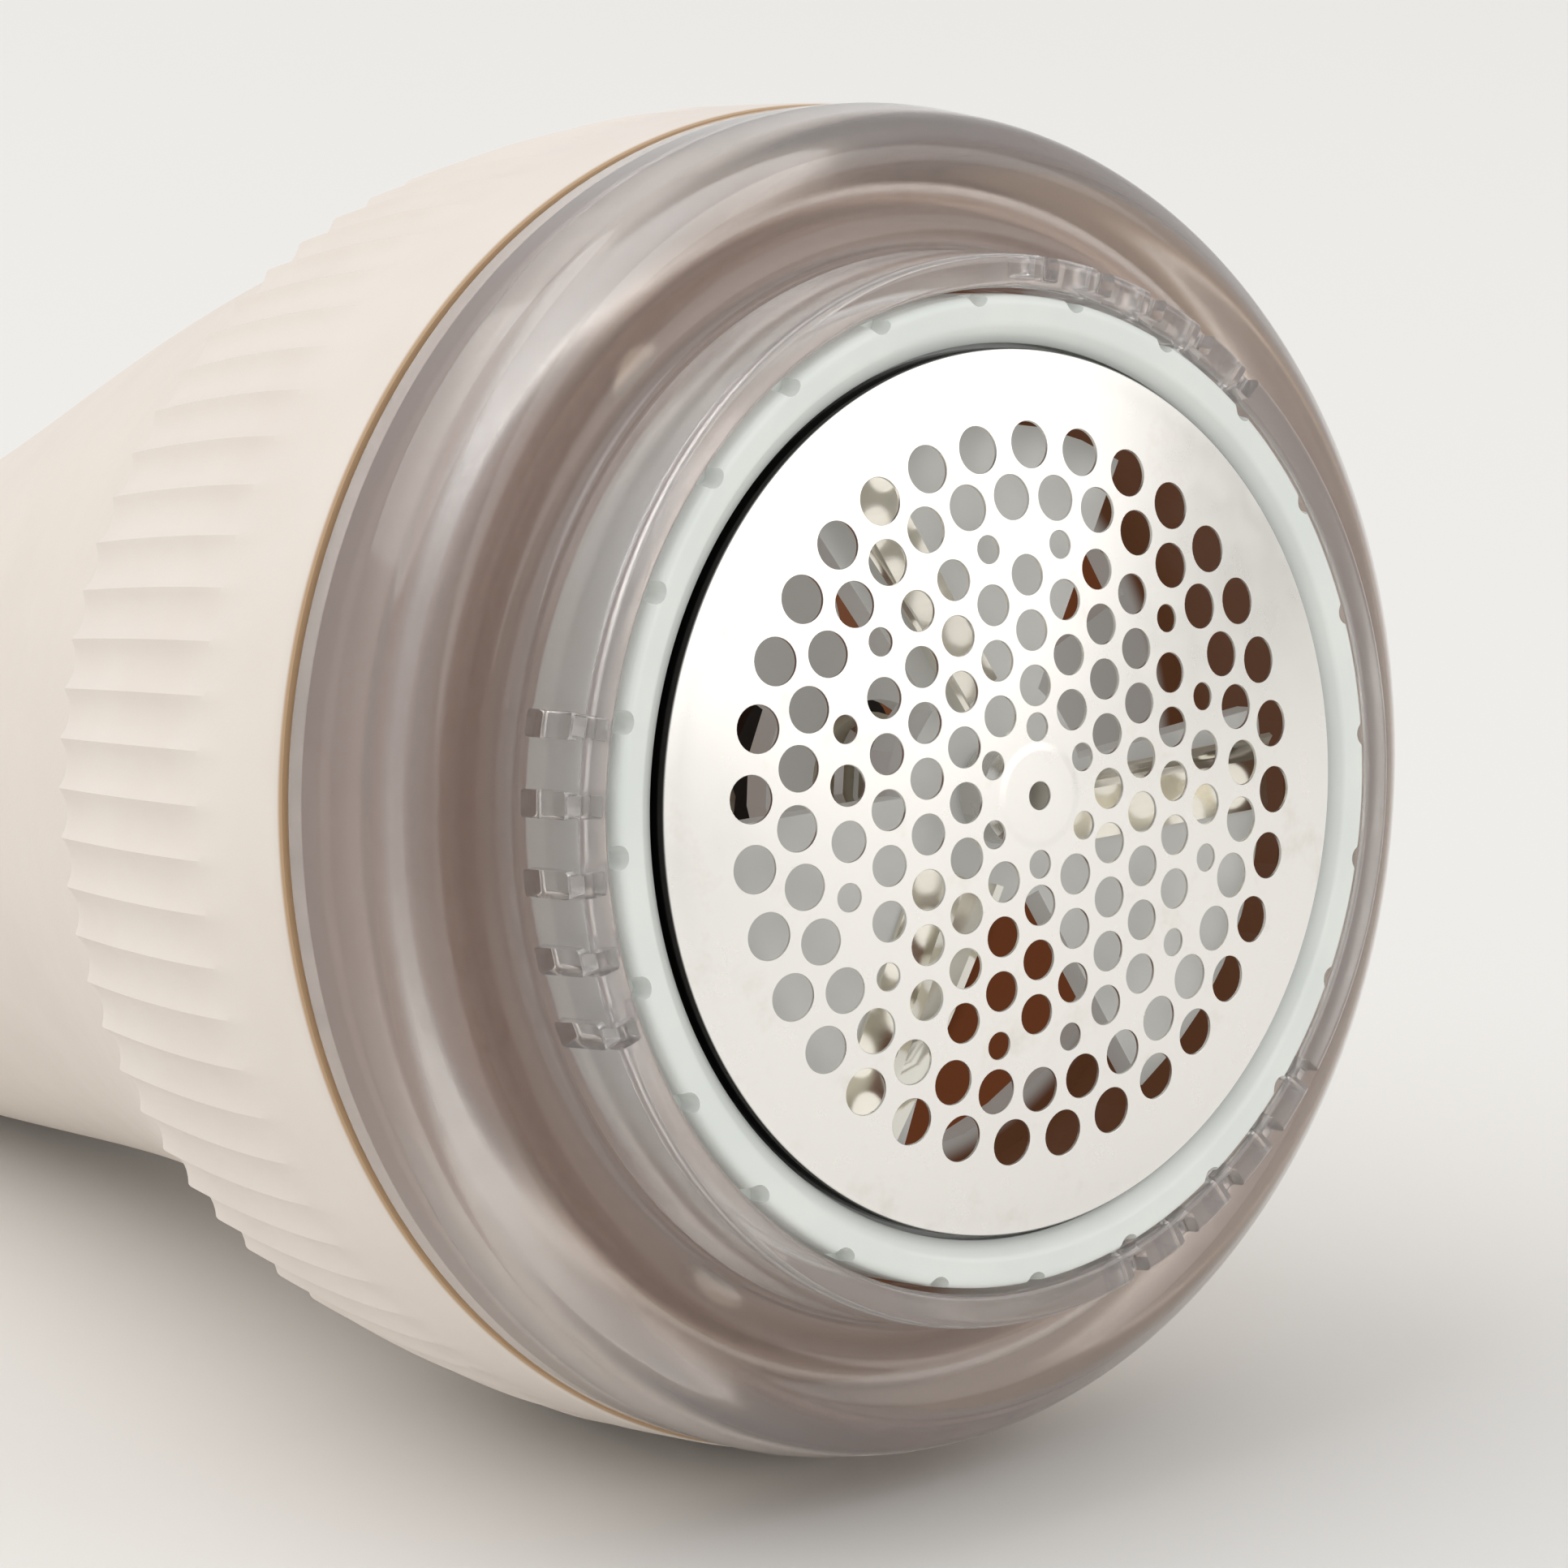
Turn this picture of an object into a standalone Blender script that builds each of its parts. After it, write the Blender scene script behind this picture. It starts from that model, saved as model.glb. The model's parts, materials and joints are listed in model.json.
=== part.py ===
"""Fabric shaver: a cordless head with a domed foil, a clear fabric guard, a ribbed height dial and a bent grip.

Everything is modelled on the head's own axis: local +Z runs forward through the foil, with zero at the foil's
crown, and local +X is up. The empty head_axis lays the finished shaver down on a table, and its child
grip_axis follows the straight end of the grip. Units are metres.
"""

import math

import bmesh
import bpy
from mathutils import Matrix, Vector

# Foil: a domed steel disc with rounds of holes
FOIL_RADIUS = 0.0235
FOIL_THICKNESS = 0.0003
FOIL_RISE = 4.37  # drop of the dome in metres per square metre of radius
HOLE_PITCH = 0.0029
HOLE_SIDES = 6
HOLE_RADIUS = 0.00107
SMALL_HOLE_RADIUS = 0.00074
INNER_ROUND_RADIUS = 0.0157
INNER_ROUND_HOLE = 0.0012
INNER_ROUND_TURN = 2.0
OUTER_ROUND_RADIUS = 0.0184
OUTER_ROUND_HOLE = 0.00125
OUTER_ROUND_TURN = 7.7
ROUND_COUNT = 32
FOIL_TURN = -95.3

# Foil ring that carries the foil and turns off its bayonet
RING_RADIUS = 0.0263
RING_FACE = -0.0024
RING_LENGTH = 0.0066
RING_SEAT = 0.0222
RING_WALL = 0.0017
NOTCH_COUNT = 24
NOTCH_RADIUS = 0.0006
NOTCH_DEPTH = 0.0010
NOTCH_TURN = -92.5

# Fabric guard
RUN = 0.0003  # clearance between pieces that touch or slide
GUARD_LIP_WIDTH = 0.0018
GUARD_LIP_FACE = -0.0027
GUARD_FOOT = -0.0085
GUARD_VALLEY_RADIUS = 0.0304
GUARD_CREST_RADIUS = 0.0338
GUARD_WALL = 0.0018
GUARD_SLOT_WIDTH = 0.00145
GUARD_SLOT_PITCH = 8.2
GUARD_SLOT_DEPTH = 0.0010
GUARD_SKIRT_WALL = 0.0013
GUARD_SKIRT_END = -0.0255

# Ribbed height dial
HEAD_RADIUS = 0.0366
DIAL_FRONT = -0.0172
DIAL_BACK = -0.0411
DIAL_BACK_RADIUS = 0.0342
DIAL_BORE = 0.0346
DIAL_LIP_BORE = 0.0314
FLUTE_COUNT = 80
FLUTE_DEPTH = 0.00055

# Head housing: lint chamber, motor tube and neck in one moulding
HOUSING_RADIUS = 0.0310
HOUSING_WALL = 0.0016
CHAMBER_MOUTH = -0.0170
CHAMBER_FLOOR = -0.0362
NECK_RADIUS = 0.0286
NECK_END = -0.0462
NECK_GROOVE = 0.0011
MOTOR_TUBE_WALL = 0.0018
BOSS_RADIUS = 0.0021

# Cutter bowl and its lint windows
BOWL_RADIUS = 0.0242
BOWL_WALL = 0.0015
BOWL_LIP = -0.0052
BOWL_FLOOR = -0.0132
BOWL_FLOOR_THICKNESS = 0.0016
WINDOW_INNER = 0.0078
WINDOW_OUTER = 0.0205
WINDOW_SPAN = 78.0

# Rotor
SHAFT_RADIUS = 0.0010
HUB_RADIUS = 0.0195
HUB_TOP = -0.0036
HUB_THICKNESS = 0.0016
HUB_ARM_SPAN = 68.0
BLADE_COUNT = 3
BLADE_THICKNESS = 0.0005
BLADE_GAP = 0.0007
BLADE_START = 0.0050
SPRING_WIRE = 0.00035

# Motor
MOTOR_RADIUS = 0.0122
MOTOR_FACE = -0.0215
MOTOR_LENGTH = 0.0305
MOTOR_CAN_WALL = 0.0010
MAGNET_THICKNESS = 0.0016
ARMATURE_RADIUS = 0.0086

# Bent grip
GRIP_WALL = 0.0018
GRIP_FRONT = -0.0414
GRIP_FRONT_RADIUS = 0.0330
GRIP_RADIUS = 0.0183
TAPER_LENGTH = 0.0840
BEND_LENGTH = 0.0670
BEND_DROP = 0.0046
BEND_START = 0.0062
GRIP_SLOPE = 0.12
GRIP_STRAIGHT = 0.0420
END_CAP_THICKNESS = 0.0028
SPLIT_GAP = 0.0003
SHELL_BOSS_RADIUS = 0.0025
HEAD_TILT = math.radians(8.5)

# Power parts in the grip, placed along grip_axis
CELL_RADIUS = 0.0070
CELL_LENGTH = 0.0500
CELL_FRONT = 0.0200
CELL_DROP = 0.0062
CRADLE_WALL = 0.0013
BOARD_THICKNESS = 0.0012
BOARD_HALF_WIDTH = 0.0115
BOARD_LEVEL = 0.0060
BUTTON_PLACE = 0.0120
BUTTON_RADIUS = 0.0055
BUTTON_TOP = 0.0212
LENS_PLACE = -0.0050
LENS_RADIUS = 0.0015
SOCKET_HALF_WIDTH = 0.00447
SOCKET_HEIGHT = 0.0032
SOCKET_LENGTH = 0.0073

# Screws
SCREW_RADIUS = 0.0009
SCREW_HEAD_RADIUS = 0.0018
SCREW_HEAD_HEIGHT = 0.0012

# Facets round a turned piece
BIG_STEPS = 36
MID_STEPS = 24
SMALL_STEPS = 12
MERGE = 0.00001


def clear_scene():
    for thing in list(bpy.data.objects):
        bpy.data.objects.remove(thing, do_unlink=True)


def new_collection(name):
    group = bpy.data.collections.new(name)
    bpy.context.scene.collection.children.link(group)
    return group


def finish(name, colour, roughness, metallic=0.0, alpha=1.0):
    made = bpy.data.materials.new(name)
    made.use_nodes = True
    shader = made.node_tree.nodes["Principled BSDF"]
    shader.inputs["Base Color"].default_value = (*colour, 1.0)
    shader.inputs["Roughness"].default_value = roughness
    shader.inputs["Metallic"].default_value = metallic
    shader.inputs["Alpha"].default_value = alpha
    made.diffuse_color = (*colour, alpha)
    return made


def place(name, mesh, look, parent, group=None):
    """Puts a mesh in the scene as a named piece."""
    piece = bpy.data.objects.new(name, mesh)
    (group or shaver).objects.link(piece)
    piece.parent = parent
    if look:
        mesh.materials.append(look)
    return piece


def smooth(piece, angle=35.0):
    piece.data.shade_smooth()
    piece.data.set_sharp_from_angle(angle=math.radians(angle))


def from_bmesh(name, shape, look, parent, group=None):
    bmesh.ops.recalc_face_normals(shape, faces=shape.faces)
    mesh = bpy.data.meshes.new(name)
    shape.to_mesh(mesh)
    shape.free()
    return place(name, mesh, look, parent, group)


def turned(name, profile, look, parent, steps=BIG_STEPS, solid=False, group=None, flat=False):
    """Turns a profile of (radius, height) points about the axis. The profile runs down its outer side.
    With flat set, the middle of a facet lies on the x axis in place of a corner."""
    mesh = bpy.data.meshes.new(name)
    begin = 180.0 / steps if flat else 0.0
    points = [polar(radius, begin, height) for radius, height in profile]
    count = len(points)
    last = count - 1 if solid else count
    mesh.from_pydata(points, [(i, (i + 1) % count) for i in range(last)], [])
    piece = place(name, mesh, look, parent, group)
    turn = piece.modifiers.new("Turn", "SCREW")
    turn.steps = steps
    turn.render_steps = steps
    turn.use_merge_vertices = True
    turn.merge_threshold = MERGE
    turn.use_smooth_shade = True
    return piece


def rod_bmesh(shape, start, end, radius, steps, end_radius=None):
    """Adds a capped cylinder or cone between two points to a bmesh."""
    start, end = Vector(start), Vector(end)
    along = end - start
    turn = along.to_track_quat("Z", "Y").to_matrix().to_4x4()
    bmesh.ops.create_cone(
        shape,
        cap_ends=True,
        segments=steps,
        radius1=radius,
        radius2=radius if end_radius is None else end_radius,
        depth=along.length,
        matrix=Matrix.Translation((start + end) / 2) @ turn,
    )


def rods(name, ends, radius, look, parent, steps=SMALL_STEPS, group=None):
    """One piece or cutter holding a rod for each (start, end) pair."""
    shape = bmesh.new()
    for start, end in ends:
        rod_bmesh(shape, start, end, radius, steps)
    return from_bmesh(name, shape, look, parent, group)


def box_bmesh(shape, low, high, turn=None):
    low, high = Vector(low), Vector(high)
    size = high - low
    stretch = Matrix.Diagonal((size.x, size.y, size.z, 1.0))
    made = Matrix.Translation((low + high) / 2) @ stretch
    bmesh.ops.create_cube(shape, size=1.0, matrix=(turn @ made) if turn else made)


def box(name, low, high, look, parent, group=None):
    shape = bmesh.new()
    box_bmesh(shape, low, high)
    return from_bmesh(name, shape, look, parent, group)


def bevelled_box(name, low, high, edge, look, parent):
    piece = box(name, low, high, look, parent)
    bevel = piece.modifiers.new("Edges", "BEVEL")
    bevel.width = edge
    bevel.segments = 1
    bevel.limit_method = "ANGLE"
    return piece


def outline(name, loops, depth, look, parent, group=None):
    """Fills flat closed loops, holes included, and extrudes them to the given depth about Z = 0."""
    curve = bpy.data.curves.new(name, "CURVE")
    curve.dimensions = "2D"
    curve.fill_mode = "BOTH"
    curve.extrude = depth / 2
    for loop in loops:
        spline = curve.splines.new("POLY")
        spline.points.add(len(loop) - 1)
        for point, (x, y) in zip(spline.points, loop):
            point.co = (x, y, 0.0, 1.0)
        spline.use_cyclic_u = True
    return as_mesh(place(name, curve, None, parent, group), look)


def as_mesh(piece, look=None):
    """Swaps a curve or a piece with modifiers for its finished mesh, welded along its caps."""
    name, parent, group = piece.name, piece.parent, piece.users_collection[0]
    graph = bpy.context.evaluated_depsgraph_get()
    graph.update()
    mesh = bpy.data.meshes.new_from_object(piece.evaluated_get(graph))
    bpy.data.objects.remove(piece, do_unlink=True)
    shape = bmesh.new()
    shape.from_mesh(mesh)
    bmesh.ops.remove_doubles(shape, verts=shape.verts, dist=MERGE / 10)
    shape.to_mesh(mesh)
    shape.free()
    made = place(name, mesh, None if mesh.materials else look, parent, group)
    return made


def tool(piece):
    """Marks a piece as a cutter, which isn't part of the shaver."""
    piece.hide_render = True
    piece.display_type = "WIRE"
    return piece


def cut(piece, cutter):
    change = piece.modifiers.new("Cut", "BOOLEAN")
    change.operation = "DIFFERENCE"
    change.object = tool(cutter)


def join(piece, other):
    change = piece.modifiers.new("Join", "BOOLEAN")
    change.operation = "UNION"
    change.object = tool(other)


def polar(radius, degrees, height=0.0):
    angle = math.radians(degrees)
    return Vector((radius * math.cos(angle), radius * math.sin(angle), height))


def circle_loop(radius, steps, x=0.0, y=0.0, turn=0.0):
    points = (polar(radius, turn + 360.0 * i / steps) for i in range(steps))
    return [(x + p.x, y + p.y) for p in points]


def arc_points(radius, first, last, steps):
    points = (polar(radius, first + (last - first) * i / steps) for i in range(steps + 1))
    return [(p.x, p.y) for p in points]


def dome(radius):
    """Height of the foil's outer face at a radius."""
    return -FOIL_RISE * radius * radius


def coil(name, radius, start, end, turns, look, parent, centre=None):
    """A compression spring along Z, or along X through the given centre."""
    curve = bpy.data.curves.new(name, "CURVE")
    curve.dimensions = "3D"
    curve.bevel_depth = SPRING_WIRE
    curve.bevel_resolution = 0
    curve.use_fill_caps = True
    spline = curve.splines.new("POLY")
    steps = int(turns * SMALL_STEPS)
    spline.points.add(steps)
    for i, point in enumerate(spline.points):
        share = i / steps
        place_on = polar(radius, 360.0 * turns * share, start + (end - start) * share)
        if centre is not None:
            place_on = Vector((place_on.z, centre[0] + place_on.x, centre[1] + place_on.y))
        point.co = (*place_on, 1.0)
    return as_mesh(place(name, curve, None, parent), look)


def tube(name, points, radius, look, parent):
    """A thin round wire through the given points."""
    curve = bpy.data.curves.new(name, "CURVE")
    curve.dimensions = "3D"
    curve.bevel_depth = radius
    curve.bevel_resolution = 0
    curve.use_fill_caps = True
    spline = curve.splines.new("POLY")
    spline.points.add(len(points) - 1)
    for point, where in zip(spline.points, points):
        point.co = (*where, 1.0)
    return as_mesh(place(name, curve, None, parent), look)


def smooth_route(corners, steps):
    """Points along a smooth curve through the corners."""
    route = []
    for i in range(len(corners) - 1):
        before = corners[max(i - 1, 0)]
        here, there = corners[i], corners[i + 1]
        after = corners[min(i + 2, len(corners) - 1)]
        for step in range(steps):
            t = step / steps
            route.append(
                0.5
                * (
                    2 * here
                    + (there - before) * t
                    + (2 * before - 5 * here + 4 * there - after) * t * t
                    + (3 * here - before - 3 * there + after) * t**3
                )
            )
    route.append(corners[-1])
    return route


def screw_piece(name, seat, into, length, look, parent):
    """A pan-head screw whose head stands on its seat and whose shank runs along the given direction."""
    along = Vector(into).normalized()
    shape = bmesh.new()
    overlap = SCREW_HEAD_HEIGHT * 0.25
    seat = Vector(seat)
    rod_bmesh(shape, seat, seat - along * SCREW_HEAD_HEIGHT, SCREW_HEAD_RADIUS, SMALL_STEPS)
    head = from_bmesh(name, shape, look, parent)
    shank = rods(
        name + "_shank",
        [(seat - along * overlap, seat + along * length)],
        SCREW_RADIUS,
        None,
        parent,
        group=tools,
    )
    join(head, shank)
    return head


# Foil and its ring


def hole_centres():
    """(x, y, radius) of every hole, before the pattern is turned."""
    row = HOLE_PITCH * math.sqrt(3) / 2
    holes = [(0.0, 0.0, SMALL_HOLE_RADIUS)]
    for i in range(-5, 6):
        for j in range(-11, 12):
            if (i + j) % 2:
                continue
            x, y = row * i, HOLE_PITCH * j / 2
            away = math.hypot(x, y) / HOLE_PITCH
            ring = max(abs(i), (abs(i) + abs(j)) / 2)
            if ring < 1.5 or ring > 5.2 or away > 4.9:
                continue
            near_corner = ring > 4.5 and away > 4.45
            holes.append((x, y, SMALL_HOLE_RADIUS if near_corner else HOLE_RADIUS))
    for i in range(6):
        spot = polar(1.25 * HOLE_PITCH, 30 + 60 * i)
        holes.append((spot.x, spot.y, SMALL_HOLE_RADIUS))
    rounds = (
        (INNER_ROUND_RADIUS, INNER_ROUND_HOLE, INNER_ROUND_TURN),
        (OUTER_ROUND_RADIUS, OUTER_ROUND_HOLE, OUTER_ROUND_TURN),
    )
    for radius, hole, turn in rounds:
        for i in range(ROUND_COUNT):
            spot = polar(radius, turn + 360.0 * i / ROUND_COUNT)
            holes.append((spot.x, spot.y, hole))
    return holes


def make_foil(look):
    turn = Matrix.Rotation(math.radians(FOIL_TURN), 2)
    loops = [circle_loop(FOIL_RADIUS, BIG_STEPS)]
    for x, y, radius in hole_centres():
        spot = turn @ Vector((x, y))
        loops.append(circle_loop(radius, HOLE_SIDES, spot.x, spot.y))
    foil = outline("foil_net", loops, FOIL_THICKNESS, look, head_axis)
    for vertex in foil.data.vertices:
        away = math.hypot(vertex.co.x, vertex.co.y)
        vertex.co.z += dome(away) - FOIL_THICKNESS / 2
    return foil


def foil_seat():
    """Height of the ring's rebate, just under the foil's edge."""
    return dome(FOIL_RADIUS) - FOIL_THICKNESS - RUN


def make_foil_ring(look):
    bore = FOIL_RADIUS + RUN
    skirt_bore = RING_RADIUS - RING_WALL
    end = RING_FACE - RING_LENGTH
    profile = [
        (bore, RING_FACE),
        (RING_RADIUS - 0.0006, RING_FACE),
        (RING_RADIUS, RING_FACE - 0.0006),
        (RING_RADIUS, end),
        (skirt_bore, end),
        (skirt_bore, BOWL_LIP + RUN),
        (RING_SEAT, BOWL_LIP + 0.0006),
        (RING_SEAT, foil_seat()),
        (bore, foil_seat()),
    ]
    ring = turned("foil_ring", profile, look, head_axis)
    ends = []
    for i in range(NOTCH_COUNT):
        spot = polar(RING_RADIUS + 0.0001, NOTCH_TURN + 360.0 * i / NOTCH_COUNT)
        low = RING_FACE - NOTCH_DEPTH
        ends.append(((spot.x, spot.y, low), (spot.x, spot.y, RING_FACE + 0.001)))
    cut(ring, rods("ring_notch_tool", ends, NOTCH_RADIUS, None, head_axis, 8, tools))


# Guard and dial


def guard_profile():
    bore = RING_RADIUS + RUN
    collar = bore + GUARD_LIP_WIDTH
    skirt = DIAL_BORE - RUN
    skirt_bore = skirt - GUARD_SKIRT_WALL
    rim_end = DIAL_FRONT + RUN
    return [
        (bore + 0.0003, GUARD_LIP_FACE),
        (collar - 0.0004, GUARD_LIP_FACE),
        (collar, GUARD_LIP_FACE - 0.0004),
        (collar, GUARD_FOOT + 0.0007),
        (collar + 0.0007, GUARD_FOOT - 0.0003),
        (GUARD_VALLEY_RADIUS, GUARD_FOOT - 0.0007),
        (GUARD_VALLEY_RADIUS + 0.0016, GUARD_FOOT - 0.0003),
        (GUARD_CREST_RADIUS - 0.0002, GUARD_FOOT + 0.0002),
        (GUARD_CREST_RADIUS + 0.0008, GUARD_FOOT - 0.0004),
        (HEAD_RADIUS - 0.0009, GUARD_FOOT - 0.0020),
        (HEAD_RADIUS - 0.0003, GUARD_FOOT - 0.0044),
        (HEAD_RADIUS - 0.0001, rim_end),
        (skirt, rim_end),
        (skirt, GUARD_SKIRT_END),
        (skirt_bore, GUARD_SKIRT_END),
        (skirt_bore, GUARD_FOOT - 0.0050),
        (GUARD_CREST_RADIUS - 0.0013, GUARD_FOOT - 0.0007 - GUARD_WALL),
        (GUARD_VALLEY_RADIUS, GUARD_FOOT - 0.0007 - GUARD_WALL),
        (bore, GUARD_FOOT - 0.0010),
        (bore, GUARD_LIP_FACE - 0.0003),
    ]


def make_guard(look):
    guard = turned("fabric_guard", guard_profile(), look, head_axis)
    collar = RING_RADIUS + RUN + GUARD_LIP_WIDTH
    shape = bmesh.new()
    half = GUARD_SLOT_WIDTH / 2
    for group_turn in (90.0, 210.0, 330.0):
        for i in range(-2, 3):
            turn = Matrix.Rotation(math.radians(group_turn + GUARD_SLOT_PITCH * i), 4, "Z")
            low = (collar - GUARD_SLOT_DEPTH, -half, GUARD_FOOT + 0.0008)
            high = (collar + 0.001, half, GUARD_LIP_FACE - 0.0008)
            box_bmesh(shape, low, high, turn)
    cut(guard, from_bmesh("guard_slot_tool", shape, None, head_axis, tools))


def make_dial(look):
    """The dial's outer wall has crests and troughs that fade out towards its front edge. A trough lies
    underneath, so that the shaver rests on the two crests beside it."""
    stations = [
        (DIAL_BORE, DIAL_FRONT, 0.0),
        (HEAD_RADIUS - 0.0001, DIAL_FRONT, 0.0),
        (HEAD_RADIUS - 0.0001, DIAL_FRONT - 0.0075, 0.0),
        (HEAD_RADIUS - 0.0009, DIAL_FRONT - 0.0158, 1.0),
        (DIAL_BACK_RADIUS, DIAL_BACK + 0.0006, 1.0),
        (DIAL_BACK_RADIUS - 0.0008, DIAL_BACK, 0.6),
        (DIAL_LIP_BORE, DIAL_BACK, 0.0),
        (DIAL_LIP_BORE, DIAL_BACK + 0.0038, 0.0),
        (DIAL_LIP_BORE + 0.0017, DIAL_BACK + 0.0038, 0.0),
        (DIAL_BORE, DIAL_BACK + 0.0101, 0.0),
    ]
    count = FLUTE_COUNT * 2
    shape = bmesh.new()
    loops = []
    for radius, height, depth in stations:
        troughs = [FLUTE_DEPTH * depth * (1 - i % 2) for i in range(count)]
        spots = [polar(radius - trough, 360.0 * i / count, height) for i, trough in enumerate(troughs)]
        loops.append([shape.verts.new(spot) for spot in spots])
    for near, far in zip(loops, loops[1:] + loops[:1]):
        for i in range(count):
            after = (i + 1) % count
            shape.faces.new((near[i], near[after], far[after], far[i]))
    dial = from_bmesh("height_dial", shape, look, head_axis)
    smooth(dial, 25.0)


# Housing, bowl and rotor


def motor_tube_bore():
    return MOTOR_RADIUS + RUN


def make_housing(look):
    chamber = HOUSING_RADIUS - HOUSING_WALL
    tube_outer = motor_tube_bore() + MOTOR_TUBE_WALL
    face = MOTOR_FACE + RUN
    floor_back = CHAMBER_FLOOR - HOUSING_WALL
    ridge = DIAL_BACK + 0.0045
    groove = GRIP_FRONT - 0.0018
    profile = [
        (HOUSING_RADIUS, CHAMBER_MOUTH),
        (HOUSING_RADIUS, ridge + 0.0012),
        (HOUSING_RADIUS + 0.0012, ridge + 0.0006),
        (HOUSING_RADIUS + 0.0012, ridge),
        (HOUSING_RADIUS, ridge),
        (HOUSING_RADIUS, GRIP_FRONT + RUN),
        (NECK_RADIUS, GRIP_FRONT + RUN),
        (NECK_RADIUS, groove),
        (NECK_RADIUS - NECK_GROOVE, groove),
        (NECK_RADIUS - NECK_GROOVE, groove - 0.0021),
        (NECK_RADIUS, groove - 0.0021),
        (NECK_RADIUS, NECK_END),
        (NECK_RADIUS - NECK_GROOVE - HOUSING_WALL, NECK_END),
        (NECK_RADIUS - NECK_GROOVE - HOUSING_WALL, floor_back),
        (motor_tube_bore(), floor_back),
        (motor_tube_bore(), face),
        (0.0042, face),
        (0.0042, face + MOTOR_TUBE_WALL),
        (tube_outer, face + MOTOR_TUBE_WALL),
        (tube_outer, CHAMBER_FLOOR),
        (chamber, CHAMBER_FLOOR),
        (chamber, CHAMBER_MOUTH),
    ]
    housing = turned("head_housing", profile, look, head_axis)
    spots = boss_spots(CHAMBER_MOUTH)
    ends = [(spot, spot + Vector((0, 0, CHAMBER_FLOOR - CHAMBER_MOUTH - 0.0005))) for spot in spots]
    join(housing, rods("chamber_boss_tool", ends, BOSS_RADIUS, None, head_axis, 10, tools))
    holes = [(spot + Vector((0, 0, 0.001)), spot - Vector((0, 0, 0.0085))) for spot in spots]
    for side in (-1, 1):
        spot = Vector((0.0, side * 0.0078, MOTOR_FACE))
        holes.append((spot - Vector((0, 0, 0.001)), spot + Vector((0, 0, 0.004))))
    hole = SCREW_RADIUS + RUN
    cut(housing, rods("housing_hole_tool", holes, hole, None, head_axis, 10, tools))


def boss_spots(height):
    reach = HOUSING_RADIUS - HOUSING_WALL - BOSS_RADIUS + 0.0008
    return [polar(reach, 30.0 + 120.0 * i, height) for i in range(3)]


def bowl_flange():
    """(top, underside) of the bowl's flange."""
    return CHAMBER_MOUTH + RUN + BOWL_FLOOR_THICKNESS, CHAMBER_MOUTH + RUN


def make_bowl(look, steel):
    top, under = bowl_flange()
    inner = BOWL_RADIUS - BOWL_WALL
    profile = [
        (BOWL_RADIUS, BOWL_LIP),
        (BOWL_RADIUS, top),
        (HOUSING_RADIUS, top),
        (HOUSING_RADIUS, under),
        (BOWL_RADIUS - 0.0004, under),
        (BOWL_RADIUS - 0.0004, BOWL_FLOOR - BOWL_FLOOR_THICKNESS),
        (0.0045, BOWL_FLOOR - BOWL_FLOOR_THICKNESS),
        (0.0045, BOWL_FLOOR),
        (inner, BOWL_FLOOR),
        (inner, BOWL_LIP),
    ]
    bowl = turned("cutter_bowl", profile, look, head_axis)
    for i in range(3):
        middle = 90.0 + 120.0 * i
        first, last = middle - WINDOW_SPAN / 2, middle + WINDOW_SPAN / 2
        loop = arc_points(WINDOW_OUTER, first, last, 8) + arc_points(WINDOW_INNER, last, first, 4)
        window = outline(f"lint_window_tool_{i + 1}", [loop], 0.006, None, head_axis, tools)
        window.location.z = BOWL_FLOOR
        cut(bowl, window)
    holes = [(spot - Vector((0, 0, 0.001)), spot + Vector((0, 0, 0.004))) for spot in boss_spots(under)]
    cut(bowl, rods("bowl_hole_tool", holes, SCREW_RADIUS + RUN, None, head_axis, 10, tools))
    for i, spot in enumerate(boss_spots(top + RUN)):
        screw_piece(f"bowl_screw_{i + 1}", spot, (0, 0, -1), 0.0085, steel, head_axis)


def hub_outline():
    """Three wide arms round a boss."""
    loop = []
    boss = 0.0062
    for i in range(BLADE_COUNT):
        middle = 360.0 * i / BLADE_COUNT
        half = HUB_ARM_SPAN / 2
        loop += arc_points(HUB_RADIUS, middle - half, middle + half, 8)
        gap = 360.0 / BLADE_COUNT
        loop += arc_points(boss, middle + half + 3, middle + gap - half - 3, 3)
    return loop


def make_hub(look, steel, brass):
    hub = outline("blade_hub", [hub_outline(), circle_loop(0.0016, SMALL_STEPS)], HUB_THICKNESS, look, head_axis)
    hub.data.transform(Matrix.Translation((0, 0, HUB_TOP - HUB_THICKNESS / 2)))
    skirt = [
        (0.0058, HUB_TOP - 0.0004),
        (0.0058, HUB_TOP - HUB_THICKNESS - 0.0022),
        (0.0044, HUB_TOP - HUB_THICKNESS - 0.0022),
        (0.0044, HUB_TOP - 0.0004),
    ]
    join(hub, turned("hub_skirt_tool", skirt, None, head_axis, MID_STEPS, group=tools))
    for i in range(BLADE_COUNT):
        make_blade(i, steel)
    dog_top = HUB_TOP - HUB_THICKNESS - RUN
    dog = [
        (0.0024, dog_top),
        (0.0024, BOWL_FLOOR - 0.0004),
        (0.0038, BOWL_FLOOR - 0.0004),
        (0.0038, BOWL_FLOOR - BOWL_FLOOR_THICKNESS),
        (SHAFT_RADIUS + RUN, BOWL_FLOOR - BOWL_FLOOR_THICKNESS),
        (SHAFT_RADIUS + RUN, dog_top),
    ]
    turned("drive_dog", dog, look_nylon, head_axis, MID_STEPS)
    spring_start = BOWL_FLOOR + SPRING_WIRE
    coil("hub_spring", 0.0034, spring_start, dog_top - SPRING_WIRE, 4, steel, head_axis)
    cap_top = dome(0.003) - FOIL_THICKNESS - BLADE_GAP
    cap = [
        (0.0, cap_top),
        (0.0022, cap_top),
        (0.0027, cap_top - 0.0004),
        (0.0027, HUB_TOP + RUN),
        (0.0, HUB_TOP + RUN),
    ]
    turned("hub_cap", cap, brass, head_axis, SMALL_STEPS * 2, solid=True)


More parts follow.
